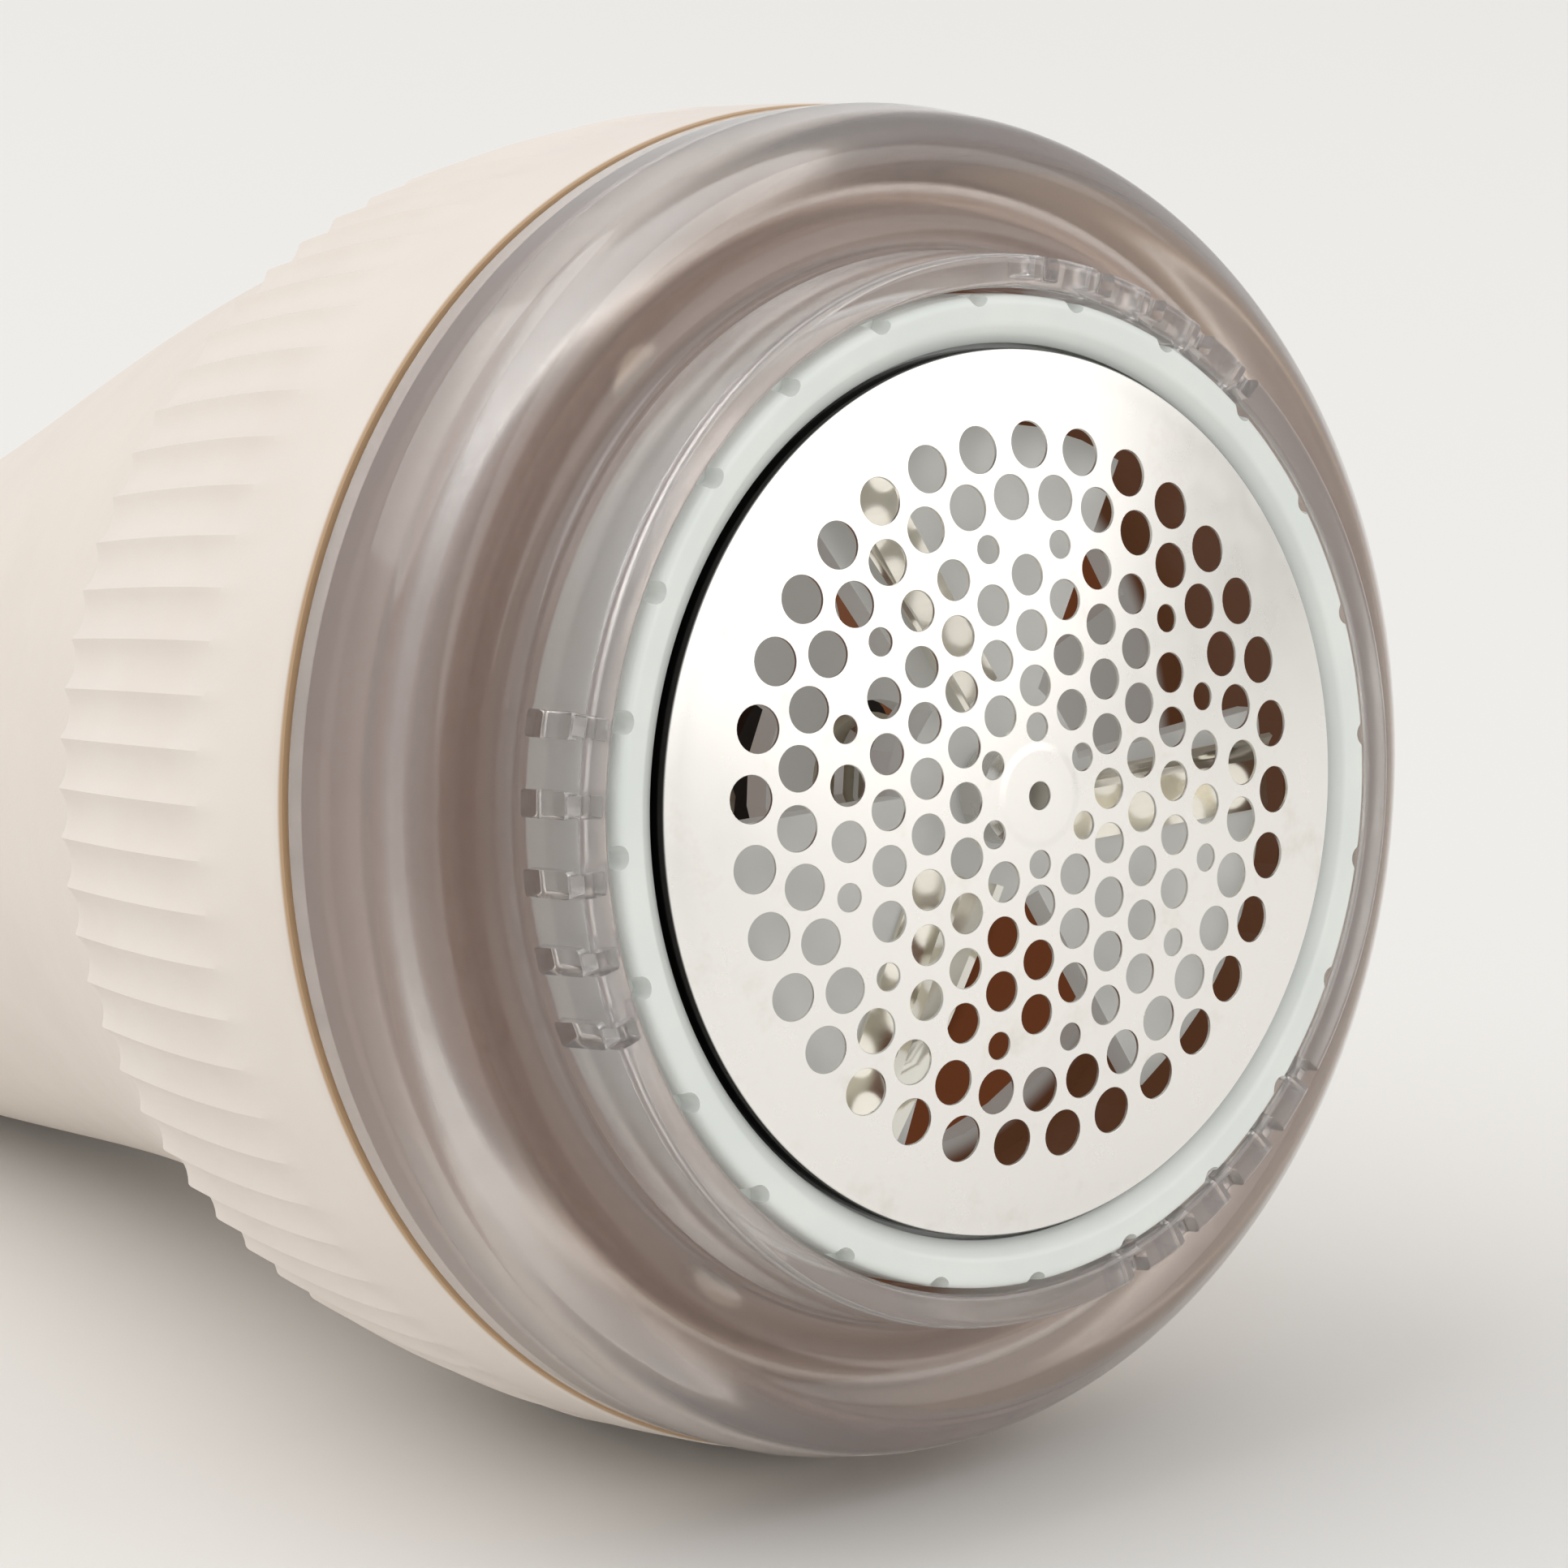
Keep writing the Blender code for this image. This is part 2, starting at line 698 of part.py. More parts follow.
def make_blade(index, steel):
    """A thin upright blade whose top edge follows the dome."""
    base = HUB_TOP + RUN
    radii = [BLADE_START + (HUB_RADIUS - BLADE_START) * i / 5 for i in range(6)]
    drop = FOIL_THICKNESS + BLADE_GAP
    loop = [(radius, dome(radius) - drop) for radius in radii]
    loop += [(HUB_RADIUS, base), (BLADE_START, base)]
    blade = outline(f"blade_{index + 1}", [loop], BLADE_THICKNESS, steel, head_axis)
    upright = Matrix.Rotation(math.radians(90), 4, "X")
    middle = 360.0 * index / BLADE_COUNT + HUB_ARM_SPAN / 2 - 6
    blade.data.transform(Matrix.Rotation(math.radians(middle), 4, "Z") @ upright)
    return blade


def make_motor(steel, copper, dark, magnet, look):
    back = MOTOR_FACE - MOTOR_LENGTH
    inner = MOTOR_RADIUS - MOTOR_CAN_WALL
    can = [
        (MOTOR_RADIUS - 0.0008, MOTOR_FACE),
        (MOTOR_RADIUS, MOTOR_FACE - 0.0008),
        (MOTOR_RADIUS, back + 0.0022),
        (inner, back + 0.0022),
        (inner, MOTOR_FACE - 0.0012),
        (0.0030, MOTOR_FACE - 0.0012),
        (0.0030, MOTOR_FACE),
    ]
    motor_can = turned("motor_can", can, steel, head_axis, BIG_STEPS)
    ends = []
    for side in (-1, 1):
        spot = Vector((0.0, side * 0.0078, MOTOR_FACE))
        ends.append((spot - Vector((0, 0, 0.003)), spot + Vector((0, 0, 0.003))))
    cut(motor_can, rods("motor_hole_tool", ends, SCREW_RADIUS + RUN, None, head_axis, 10, tools))
    bush = [
        (0.0027, MOTOR_FACE + 0.0016),
        (0.0027, MOTOR_FACE - 0.0022),
        (SHAFT_RADIUS + 0.0001, MOTOR_FACE - 0.0022),
        (SHAFT_RADIUS + 0.0001, MOTOR_FACE + 0.0016),
    ]
    turned("front_bearing", bush, copper, head_axis, SMALL_STEPS)
    cap = [
        (MOTOR_RADIUS, back + 0.0022 - RUN),
        (MOTOR_RADIUS, back),
        (0.0032, back),
        (0.0032, back - 0.0016),
        (0.0, back - 0.0016),
        (0.0, back - 0.0002),
        (SHAFT_RADIUS + RUN, back - 0.0002),
        (SHAFT_RADIUS + RUN, back + 0.0022 - RUN),
    ]
    turned("motor_end_cap", cap, dark, head_axis, BIG_STEPS, solid=False)
    magnet_outer = inner - RUN
    magnet_inner = magnet_outer - MAGNET_THICKNESS
    length = 0.0190
    for i, middle in enumerate((0.0, 180.0)):
        loop = arc_points(magnet_outer, middle - 60, middle + 60, 10)
        loop += arc_points(magnet_inner, middle + 60, middle - 60, 8)
        piece = outline(f"motor_magnet_{i + 1}", [loop], length, magnet, head_axis)
        piece.data.transform(Matrix.Translation((0, 0, MOTOR_FACE - 0.0145)))
    armature = [
        (SHAFT_RADIUS + 0.0012, MOTOR_FACE - 0.0030),
        (ARMATURE_RADIUS, MOTOR_FACE - 0.0052),
        (ARMATURE_RADIUS, MOTOR_FACE - 0.0225),
        (0.0032, MOTOR_FACE - 0.0240),
        (0.0032, back + 0.0030),
        (SHAFT_RADIUS + RUN, back + 0.0030),
        (SHAFT_RADIUS + RUN, MOTOR_FACE - 0.0030),
    ]
    turned("motor_armature", armature, copper, head_axis, MID_STEPS)
    shaft = [
        (0.0, HUB_TOP - 0.0002),
        (SHAFT_RADIUS, HUB_TOP - 0.0002),
        (SHAFT_RADIUS, back + 0.0002),
        (0.0, back + 0.0002),
    ]
    turned("motor_shaft", shaft, steel, head_axis, SMALL_STEPS, solid=True)
    seal_top = MOTOR_FACE + RUN + MOTOR_TUBE_WALL
    seal = [
        (0.0060, seal_top + 0.0012),
        (0.0060, seal_top + RUN),
        (0.0033, seal_top + RUN),
        (SHAFT_RADIUS + RUN, seal_top + 0.0008),
        (SHAFT_RADIUS + RUN, seal_top + 0.0012),
    ]
    turned("shaft_seal", seal, look, head_axis, MID_STEPS)
    for i, side in enumerate((-1, 1)):
        seat = (0.0, side * 0.0078, seal_top + RUN)
        screw_piece(f"motor_screw_{i + 1}", seat, (0, 0, -1), 0.0052, steel, head_axis)


def make_detent(steel):
    """A bowed leaf between the housing and the dial that clicks the guard's height."""
    points = []
    for i in range(13):
        angle = -16.0 + 32.0 * i / 12
        lift = 0.0021 * math.cos(math.radians(90.0 * angle / 16.0)) ** 2
        points.append((HOUSING_RADIUS + RUN + 0.0002 + lift, angle))
    outer = [polar(radius + 0.00015, angle) for radius, angle in points]
    inner = [polar(radius - 0.00015, angle) for radius, angle in reversed(points)]
    loop = [(p.x, p.y) for p in outer + inner]
    leaf = outline("dial_detent_spring", [loop], 0.0035, steel, head_axis)
    leaf.data.transform(Matrix.Translation((0, 0, -0.0295)))


# Bent grip


def grip_radius(along):
    """Outer radius of the grip at a distance behind its front edge."""
    left = max(0.0, 1.0 - along / TAPER_LENGTH)
    return GRIP_RADIUS + (GRIP_FRONT_RADIUS - GRIP_RADIUS) * left * left


def centre_line(along):
    """(offset, slope) of the grip's centre line: a smooth S that ends in the straight grip."""
    if along <= BEND_START:
        return 0.0, 0.0
    if along >= BEND_LENGTH:
        return -BEND_DROP + GRIP_SLOPE * (along - BEND_LENGTH), GRIP_SLOPE
    span = BEND_LENGTH - BEND_START
    t = (along - BEND_START) / span
    end = GRIP_SLOPE * span
    offset = (3 * t**2 - 2 * t**3) * -BEND_DROP + (t**3 - t**2) * end
    rate = (6 * t - 6 * t**2) * -BEND_DROP + (3 * t**2 - 2 * t) * end
    return offset, rate / span


def bent(point):
    """Moves a point of the straight grip to its place on the bent one."""
    along = GRIP_FRONT - point.z
    offset, slope = centre_line(along)
    lean = math.atan(slope)
    return Vector((offset + point.x * math.cos(lean), point.y, point.z + point.x * math.sin(lean)))


def grip_end():
    return BEND_LENGTH + GRIP_STRAIGHT


def make_shells(look, steel):
    length = grip_end() - END_CAP_THICKNESS - RUN
    steps = 9
    stations = [length * i / steps for i in range(steps + 1)]
    outer = [(grip_radius(along), GRIP_FRONT - along) for along in stations]
    inner = [(grip_radius(along) - GRIP_WALL, GRIP_FRONT - along) for along in reversed(stations)]
    rib = NECK_RADIUS - NECK_GROOVE + RUN
    rib_front = GRIP_FRONT - 0.0018 - RUN
    groove_end = rib_front - 0.0015
    inner = [point for point in inner if point[1] < NECK_END - 0.001]
    mouth = NECK_RADIUS + RUN
    inner += [
        (mouth, NECK_END - RUN),
        (mouth, groove_end),
        (rib, groove_end),
        (rib, rib_front),
        (mouth, rib_front),
        (mouth, GRIP_FRONT),
    ]
    whole = as_mesh(turned("grip_tool", outer + inner, None, head_axis, BIG_STEPS, group=tools, flat=True))
    for vertex in whole.data.vertices:
        vertex.co = bent(vertex.co)
    tool(whole)
    bosses = shell_bosses()
    for name, side in (("grip_shell_left", 1), ("grip_shell_right", -1)):
        shell = place(name, whole.data.copy(), look, head_axis)
        reach = 0.08
        low = (-reach, -reach if side > 0 else -SPLIT_GAP / 2, -0.2)
        high = (reach, SPLIT_GAP / 2 if side > 0 else reach, 0.0)
        half_tool = box(name + "_half_tool", low, high, None, head_axis, tools)
        ends = []
        pilots = []
        for x, z, wall in bosses:
            ends.append(((x, side * SPLIT_GAP / 2, z), (x, side * wall, z)))
            depth = 0.009 if side > 0 else wall + 0.004
            pilots.append(((x, -side * 0.001, z), (x, side * depth, z)))
        cut(shell, half_tool)
        join(shell, rods(name + "_boss_tool", ends, SHELL_BOSS_RADIUS, None, head_axis, 10, tools))
        cut(shell, rods(name + "_pilot_tool", pilots, SCREW_RADIUS + RUN, None, head_axis, 10, tools))
        cut_button_hole(shell, name)
        if side < 0:
            sinks = [((x, -(wall - 0.0028), z), (x, -wall - 0.008, z)) for x, z, wall in bosses]
            sink = SCREW_HEAD_RADIUS + RUN
            cut(shell, rods(name + "_sink_tool", sinks, sink, None, head_axis, SMALL_STEPS, tools))
        smooth(shell)
    for i, (x, z, wall) in enumerate(bosses):
        seat = (x, -(wall - 0.0028 + RUN), z)
        length = min(wall - 0.0028 + 0.007, 0.020)
        screw_piece(f"shell_screw_{i + 1}", seat, (0, 1, 0), length, steel, head_axis)


def shell_bosses():
    """(x, z, reach into the wall) of each boss that the shell screws go into."""
    bosses = []
    for x, along in ((0.0215, 0.0115), (-0.0215, 0.0115), (0.0, 0.0345), (-0.0098, grip_end() - 0.0080)):
        place_on = bent(Vector((x, 0.0, GRIP_FRONT - along)))
        edge = abs(x) + SHELL_BOSS_RADIUS
        in_wall = grip_radius(along + SHELL_BOSS_RADIUS) - GRIP_WALL * 0.35
        bosses.append((place_on.x, place_on.z, math.sqrt(in_wall**2 - edge * edge)))
    return bosses


def cut_button_hole(shell, name):
    ends = [((0.010, 0, BUTTON_PLACE), (0.030, 0, BUTTON_PLACE))]
    hole = rods(name + "_button_tool", ends, BUTTON_RADIUS + RUN, None, grip_axis, MID_STEPS, tools)
    cut(shell, hole)
    ends = [((0.010, 0, LENS_PLACE), (0.030, 0, LENS_PLACE))]
    cut(shell, rods(name + "_lens_tool", ends, LENS_RADIUS + RUN, None, grip_axis, SMALL_STEPS, tools))


def make_end_cap(look):
    outer = grip_radius(grip_end())
    face = -GRIP_STRAIGHT
    shoulder = face + END_CAP_THICKNESS
    spigot = outer - GRIP_WALL - RUN
    profile = [
        (0.0, shoulder + 0.0012),
        (spigot, shoulder + 0.0012),
        (spigot, shoulder),
        (outer, shoulder),
        (outer, face + 0.0014),
        (outer - 0.0005, face + 0.0005),
        (outer - 0.0016, face),
        (0.0, face),
    ]
    cap = turned("end_cap", profile, look, grip_axis, BIG_STEPS, solid=True, flat=True)
    low, high = socket_box()
    grow = Vector((RUN, RUN, 0.003))
    cut(cap, box("socket_opening_tool", low - grow, high + grow, None, grip_axis, tools))


def socket_box():
    level = BOARD_LEVEL + BOARD_THICKNESS + RUN
    face = -GRIP_STRAIGHT
    low = Vector((level, -SOCKET_HALF_WIDTH, face + 0.0003))
    high = Vector((level + SOCKET_HEIGHT, SOCKET_HALF_WIDTH, face + 0.0003 + SOCKET_LENGTH))
    return low, high


def make_power_parts(looks):
    back = CELL_FRONT - CELL_LENGTH
    cell = [
        (0.0, CELL_FRONT),
        (CELL_RADIUS - 0.0004, CELL_FRONT),
        (CELL_RADIUS, CELL_FRONT - 0.0004),
        (CELL_RADIUS, back + 0.0004),
        (CELL_RADIUS - 0.0004, back),
        (0.0, back),
    ]
    battery = turned("battery_cell", cell, looks["wrap"], grip_axis, MID_STEPS, solid=True)
    battery.location.x = -CELL_DROP
    make_cradle(looks["nylon"])
    tab = 0.0004
    for name, near in (("battery_tab_front", CELL_FRONT + RUN), ("battery_tab_rear", back - RUN - tab)):
        low = (-CELL_DROP - 0.003, -0.002, near)
        high = (BOARD_LEVEL - RUN, 0.002, near + tab)
        box(name, low, high, looks["nickel"], grip_axis)
    rear = socket_box()[1].z - 0.0001
    board = box(
        "circuit_board",
        (BOARD_LEVEL, -BOARD_HALF_WIDTH, rear),
        (BOARD_LEVEL + BOARD_THICKNESS, BOARD_HALF_WIDTH, CELL_FRONT + 0.0025),
        looks["board"],
        grip_axis,
    )
    top = BOARD_LEVEL + BOARD_THICKNESS + RUN
    box("charge_chip", (top, 0.003, -0.020), (top + 0.0012, 0.008, -0.014), looks["dark"], grip_axis)
    low, high = socket_box()
    socket = bevelled_box("charging_socket", low, high, 0.0009, looks["nickel"], grip_axis)
    inset = Vector((0.0004, 0.0004, 0.0))
    mouth_low = Vector((low.x, low.y, low.z - 0.001)) + inset
    mouth_high = Vector((high.x, high.y, low.z + 0.0055)) - inset
    cut(socket, box("socket_mouth_tool", mouth_low, mouth_high, None, grip_axis, tools))
    make_button(top, looks)
    lens_base = top + 0.0019
    lens_end = grip_radius(BEND_LENGTH - LENS_PLACE) - 0.0001
    box("indicator_led", (top, -0.0010, LENS_PLACE - 0.0010), (top + 0.0009, 0.0010, LENS_PLACE + 0.0010),
        looks["lamp"], grip_axis)
    ends = [((lens_base, 0, LENS_PLACE), (lens_end, 0, LENS_PLACE))]
    rods("indicator_lens", ends, LENS_RADIUS, looks["lens"], grip_axis)
    return board


def make_cradle(look):
    """A trough that holds the cell under the board."""
    half = CELL_RADIUS + RUN + CRADLE_WALL
    bore = CELL_RADIUS + RUN
    top = BOARD_LEVEL - RUN
    floor = -CELL_DROP - half
    corner = 0.0040
    loop = [(top, -half), (floor + corner, -half), (floor, -half + corner)]
    loop += [(floor, half - corner), (floor + corner, half), (top, half), (top, bore)]
    dip = arc_points(bore, 90, 270, 10)
    loop += [(x - CELL_DROP, y) for x, y in dip]
    loop.append((top, -bore))
    length = CELL_LENGTH - 0.0040
    cradle = outline("battery_cradle", [loop], length, look, grip_axis)
    cradle.data.transform(Matrix.Translation((0, 0, CELL_FRONT - CELL_LENGTH / 2)))


def make_button(top, looks):
    flange_top = BUTTON_TOP - 0.0058
    flange_bottom = flange_top - 0.0012
    cap = [
        (0.0, BUTTON_TOP),
        (BUTTON_RADIUS * 0.6, BUTTON_TOP - 0.0001),
        (BUTTON_RADIUS - 0.0004, BUTTON_TOP - 0.0004),
        (BUTTON_RADIUS, BUTTON_TOP - 0.0009),
        (BUTTON_RADIUS, flange_top),
        (BUTTON_RADIUS + 0.0012, flange_top),
        (BUTTON_RADIUS + 0.0012, flange_bottom),
        (0.0, flange_bottom),
    ]
    upright = Matrix.Translation((0, 0, BUTTON_PLACE)) @ Matrix.Rotation(math.radians(90), 4, "Y")
    button = turned("power_button", cap, looks["button"], grip_axis, MID_STEPS, solid=True)
    button.matrix_local = upright
    body_top = top + 0.0032
    half = 0.0030
    switch = box(
        "power_switch",
        (top, -half, BUTTON_PLACE - half),
        (body_top, half, BUTTON_PLACE + half),
        looks["dark"],
        grip_axis,
    )
    bore = [((body_top - 0.0022, 0, BUTTON_PLACE), (body_top + 0.001, 0, BUTTON_PLACE))]
    cut(switch, rods("switch_bore_tool", bore, 0.0018, None, grip_axis, SMALL_STEPS, tools))
    ends = [((body_top - 0.0008, 0, BUTTON_PLACE), (flange_bottom - RUN, 0, BUTTON_PLACE))]
    rods("switch_plunger", ends, 0.0015, looks["button"], grip_axis)
    spring_low = top + SPRING_WIRE
    spring_high = flange_bottom - RUN - SPRING_WIRE
    coil("button_spring", 0.0050, spring_low, spring_high, 2.5, looks["steel"], grip_axis, (0.0, BUTTON_PLACE))


def make_wires(looks):
    back = MOTOR_FACE - MOTOR_LENGTH
    board_edge = CELL_FRONT + 0.0025 + RUN
    for name, side, look in (("motor_wire_red", 1, looks["red"]), ("motor_wire_black", -1, looks["black"])):
        start = Vector((0.0020, side * 0.0075, back - RUN))
        finish_at = grip_axis.matrix_basis @ Vector((BOARD_LEVEL + 0.0006, side * 0.0040, board_edge))
        corners = [
            start,
            start + Vector((0, 0, -0.005)),
            start.lerp(finish_at, 0.5) + Vector((0.0030, side * 0.0015, 0)),
            finish_at + Vector((0, 0, 0.004)),
            finish_at,
        ]
        tube(name, smooth_route(corners, 4), 0.0006, look, head_axis)


def lay_down():
    """Lays the shaver on the ground with its box centred over the origin."""
    forward = Vector((math.cos(HEAD_TILT), 0, math.sin(HEAD_TILT)))
    up = Vector((-math.sin(HEAD_TILT), 0, math.cos(HEAD_TILT)))
    across = Vector((0, -1, 0))
    head_axis.matrix_world = Matrix((up, across, forward)).transposed().to_4x4()
    bpy.context.view_layer.update()
    graph = bpy.context.evaluated_depsgraph_get()
    low = Vector((9.0, 9.0, 9.0))
    high = -low
    for piece in shaver.objects:
        if piece.type != "MESH":
            continue
        solid = piece.evaluated_get(graph)
        for vertex in solid.to_mesh().vertices:
            point = solid.matrix_world @ vertex.co
            low = Vector(map(min, low, point))
            high = Vector(map(max, high, point))
        solid.to_mesh_clear()
    middle = (low + high) / 2
    head_axis.location = (-middle.x, -middle.y, -low.z)


clear_scene()
shaver = new_collection("fabric_shaver")
tools = new_collection("cutters")
tools.hide_render = True

head_axis = bpy.data.objects.new("head_axis", None)
shaver.objects.link(head_axis)
grip_axis = bpy.data.objects.new("grip_axis", None)
shaver.objects.link(grip_axis)
grip_axis.parent = head_axis
grip_axis.location = (-BEND_DROP, 0.0, GRIP_FRONT - BEND_LENGTH)
grip_axis.rotation_euler = (0.0, -math.atan(GRIP_SLOPE), 0.0)
bpy.context.view_layer.update()

cream = finish("cream_plastic", (0.86, 0.80, 0.73), 0.55)
white = finish("white_plastic", (0.88, 0.89, 0.86), 0.25)
smoke = finish("smoked_clear_plastic", (0.78, 0.70, 0.65), 0.3, alpha=0.6)
grey = finish("grey_plastic", (0.42, 0.42, 0.41), 0.45)
brown = finish("brown_plastic", (0.16, 0.09, 0.06), 0.5)
steel = finish("stainless_steel", (0.78, 0.76, 0.71), 0.22, 1.0)
nickel = finish("nickel", (0.72, 0.71, 0.68), 0.25, 1.0)
copper = finish("copper", (0.72, 0.42, 0.24), 0.35, 1.0)
brass = finish("brass", (0.80, 0.66, 0.38), 0.3, 1.0)
dark = finish("black_plastic", (0.05, 0.05, 0.055), 0.5)
magnet = finish("ferrite", (0.13, 0.13, 0.14), 0.6)
look_nylon = finish("natural_nylon", (0.82, 0.79, 0.70), 0.5)
rubber = finish("seal_rubber", (0.09, 0.09, 0.09), 0.8)
power_looks = {
    "wrap": finish("cell_wrap", (0.12, 0.30, 0.58), 0.4),
    "nylon": look_nylon,
    "nickel": nickel,
    "board": finish("circuit_board", (0.05, 0.26, 0.14), 0.45),
    "dark": dark,
    "lamp": finish("lamp", (0.93, 0.90, 0.70), 0.4),
    "lens": finish("clear_lens", (0.90, 0.92, 0.92), 0.1, alpha=0.5),
    "button": white,
    "steel": steel,
    "red": finish("red_wire", (0.65, 0.06, 0.05), 0.5),
    "black": dark,
}

make_foil(steel)
make_foil_ring(white)
make_guard(smoke)
make_dial(cream)
make_housing(brown)
make_bowl(grey, steel)
make_hub(grey, steel, brass)
make_motor(nickel, copper, dark, magnet, rubber)
make_detent(steel)
make_shells(cream, steel)
make_end_cap(cream)
make_power_parts(power_looks)
make_wires(power_looks)
lay_down()
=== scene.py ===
import json
import math

import bmesh
import bpy
from mathutils import Matrix, Vector


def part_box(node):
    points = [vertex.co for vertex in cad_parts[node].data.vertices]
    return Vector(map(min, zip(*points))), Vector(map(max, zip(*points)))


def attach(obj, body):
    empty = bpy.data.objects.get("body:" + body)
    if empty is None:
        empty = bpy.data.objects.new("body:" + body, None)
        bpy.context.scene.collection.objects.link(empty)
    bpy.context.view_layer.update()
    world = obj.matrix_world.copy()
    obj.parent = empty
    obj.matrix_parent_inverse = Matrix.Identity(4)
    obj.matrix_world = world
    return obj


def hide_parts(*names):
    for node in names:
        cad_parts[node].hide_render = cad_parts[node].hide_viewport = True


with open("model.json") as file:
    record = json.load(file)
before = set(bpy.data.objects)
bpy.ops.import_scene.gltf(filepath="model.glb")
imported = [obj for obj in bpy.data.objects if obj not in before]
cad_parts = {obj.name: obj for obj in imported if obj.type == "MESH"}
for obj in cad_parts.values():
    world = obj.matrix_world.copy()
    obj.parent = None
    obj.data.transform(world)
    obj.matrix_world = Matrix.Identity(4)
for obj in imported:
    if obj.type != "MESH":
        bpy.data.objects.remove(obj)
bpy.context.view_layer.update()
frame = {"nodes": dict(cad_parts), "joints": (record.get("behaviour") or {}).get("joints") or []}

mm = 0.001

# the head's own axis: z forward through the foil with zero at its crown, x up, y across
joints = {joint["name"]: joint for joint in frame["joints"]}
crown = Vector(joints["dial_turn"]["pos_m"])
forward = Vector(joints["dial_turn"]["axis"]).normalized()
across = Vector((0, -1, 0))
upward = across.cross(forward)
headFrame = Matrix((upward, across, forward)).transposed().to_4x4()
headFrame.translation = crown

# the straight end of the grip has an axis of its own
grip = {
    "front": -41.4 * mm, "frontRadius": 33.0 * mm, "radius": 18.3 * mm, "taper": 84 * mm,
    "bendStart": 6.2 * mm, "bendEnd": 67 * mm, "drop": 4.6 * mm, "slope": 0.12, "straight": 42 * mm,
    "wall": 1.8 * mm, "capLength": 2.8 * mm, "capGap": 0.3 * mm,
}
gripFrame = (
    headFrame
    @ Matrix.Translation((-grip["drop"], 0, grip["front"] - grip["bendEnd"]))
    @ Matrix.Rotation(-math.atan(grip["slope"]), 4, "Y")
)


def areaLight(name, place, target, size, power, colour):
    light = bpy.data.lights.new(name, "AREA")
    light.shape = "DISK"
    light.size = size
    light.energy = power
    light.color = colour
    lamp = bpy.data.objects.new(name, light)
    bpy.context.scene.collection.objects.link(lamp)
    lamp.location = place
    lamp.rotation_euler = (Vector(target) - Vector(place)).to_track_quat("-Z", "Y").to_euler()


def setStage():
    view = {"back": Vector((0.7366, -0.6249, 0.2588)), "distance": 0.3711, "aside": -13.42 * mm,
            "rise": 0.616 * mm, "lens": 162.4, "sensor": 36}
    room = {"dim": (0.56, 0.54, 0.51, 1), "bright": (0.98, 0.985, 0.99, 1), "brightFrom": 0.9,
            "strength": 0.86, "floorRadius": 3, "floorColour": (0.84, 0.825, 0.80), "floorRoughness": 0.75}
    back = view["back"].normalized()
    right = Vector((0, 0, 1)).cross(back).normalized()
    top = back.cross(right)
    camera = bpy.data.cameras.new("camera")
    camera.lens = view["lens"]
    camera.sensor_width = view["sensor"]
    camera.clip_start = 0.01
    holder = bpy.data.objects.new("camera", camera)
    bpy.context.scene.collection.objects.link(holder)
    holder.matrix_world = Matrix((right, top, back)).transposed().to_4x4()
    holder.location = crown + right * view["aside"] + top * view["rise"] + back * view["distance"]
    bpy.context.scene.camera = holder
    bpy.context.scene.view_settings.view_transform = "Standard"

    world = bpy.data.worlds.new("paleRoom")  # brighter overhead and on the left, dimmer on the right
    bpy.context.scene.world = world
    world.use_nodes = True
    tree = world.node_tree
    spot = tree.nodes.new("ShaderNodeTexCoord").outputs["Generated"]
    facing = tree.nodes.new("ShaderNodeVectorMath")
    facing.operation = "DOT_PRODUCT"
    facing.inputs[1].default_value = (top * 0.75 - right * 0.6 + back * 0.1).normalized()
    tree.links.new(spot, facing.inputs[0])
    reach = tree.nodes.new("ShaderNodeMath")  # from -1 to 1 into 0 to 1
    reach.operation = "MULTIPLY_ADD"
    reach.inputs[1].default_value = 0.5
    reach.inputs[2].default_value = 0.5
    tree.links.new(facing.outputs["Value"], reach.inputs[0])
    shade = tree.nodes.new("ShaderNodeValToRGB")
    darkest, brightest = shade.color_ramp.elements
    darkest.position, darkest.color = 0.0, room["dim"]
    brightest.position, brightest.color = room["brightFrom"], room["bright"]
    tree.links.new(reach.outputs[0], shade.inputs[0])
    tree.links.new(shade.outputs[0], tree.nodes["Background"].inputs["Color"])
    tree.nodes["Background"].inputs["Strength"].default_value = room["strength"]
    aim = crown + Vector((-0.02, 0, 0))
    areaLight("skyPanel", aim - right * 0.9 + Vector((0, 0, 1.3)), aim, 1.8, 8, (1, 0.99, 0.97))
    beside = aim + right * 0.9 + Vector((0, 0, 0.35)) + back * 0.3
    areaLight("sidePanel", beside, aim, 0.9, 2.2, (1, 0.985, 0.96))

    shape = bmesh.new()
    bmesh.ops.create_circle(shape, cap_ends=True, segments=64, radius=room["floorRadius"])
    mesh = bpy.data.meshes.new("floor")
    shape.to_mesh(mesh)
    shape.free()
    floor = bpy.data.objects.new("floor", mesh)
    bpy.context.scene.collection.objects.link(floor)
    paper = Finish("floorPaper")
    paper.fill("Base Color", room["floorColour"])
    paper.fill("Roughness", room["floorRoughness"])
    mesh.materials.append(paper.material)


class Wire:  # a socket, so that shader maths reads as arithmetic
    def __init__(self, tree, socket):
        self.tree = tree
        self.socket = socket

    def math(self, operation, first, second):
        node = self.tree.nodes.new("ShaderNodeMath")
        node.operation = operation
        for slot, value in zip(node.inputs, (first, second)):
            if isinstance(value, Wire):
                self.tree.links.new(value.socket, slot)
            else:
                slot.default_value = value
        return Wire(self.tree, node.outputs[0])

    def __add__(self, other):
        return self.math("ADD", self, other)

    def __radd__(self, other):
        return self.math("ADD", other, self)

    def __sub__(self, other):
        return self.math("SUBTRACT", self, other)

    def __rsub__(self, other):
        return self.math("SUBTRACT", other, self)

    def __mul__(self, other):
        return self.math("MULTIPLY", self, other)

    def __rmul__(self, other):
        return self.math("MULTIPLY", other, self)

    def __pow__(self, other):
        return self.math("POWER", self, other)


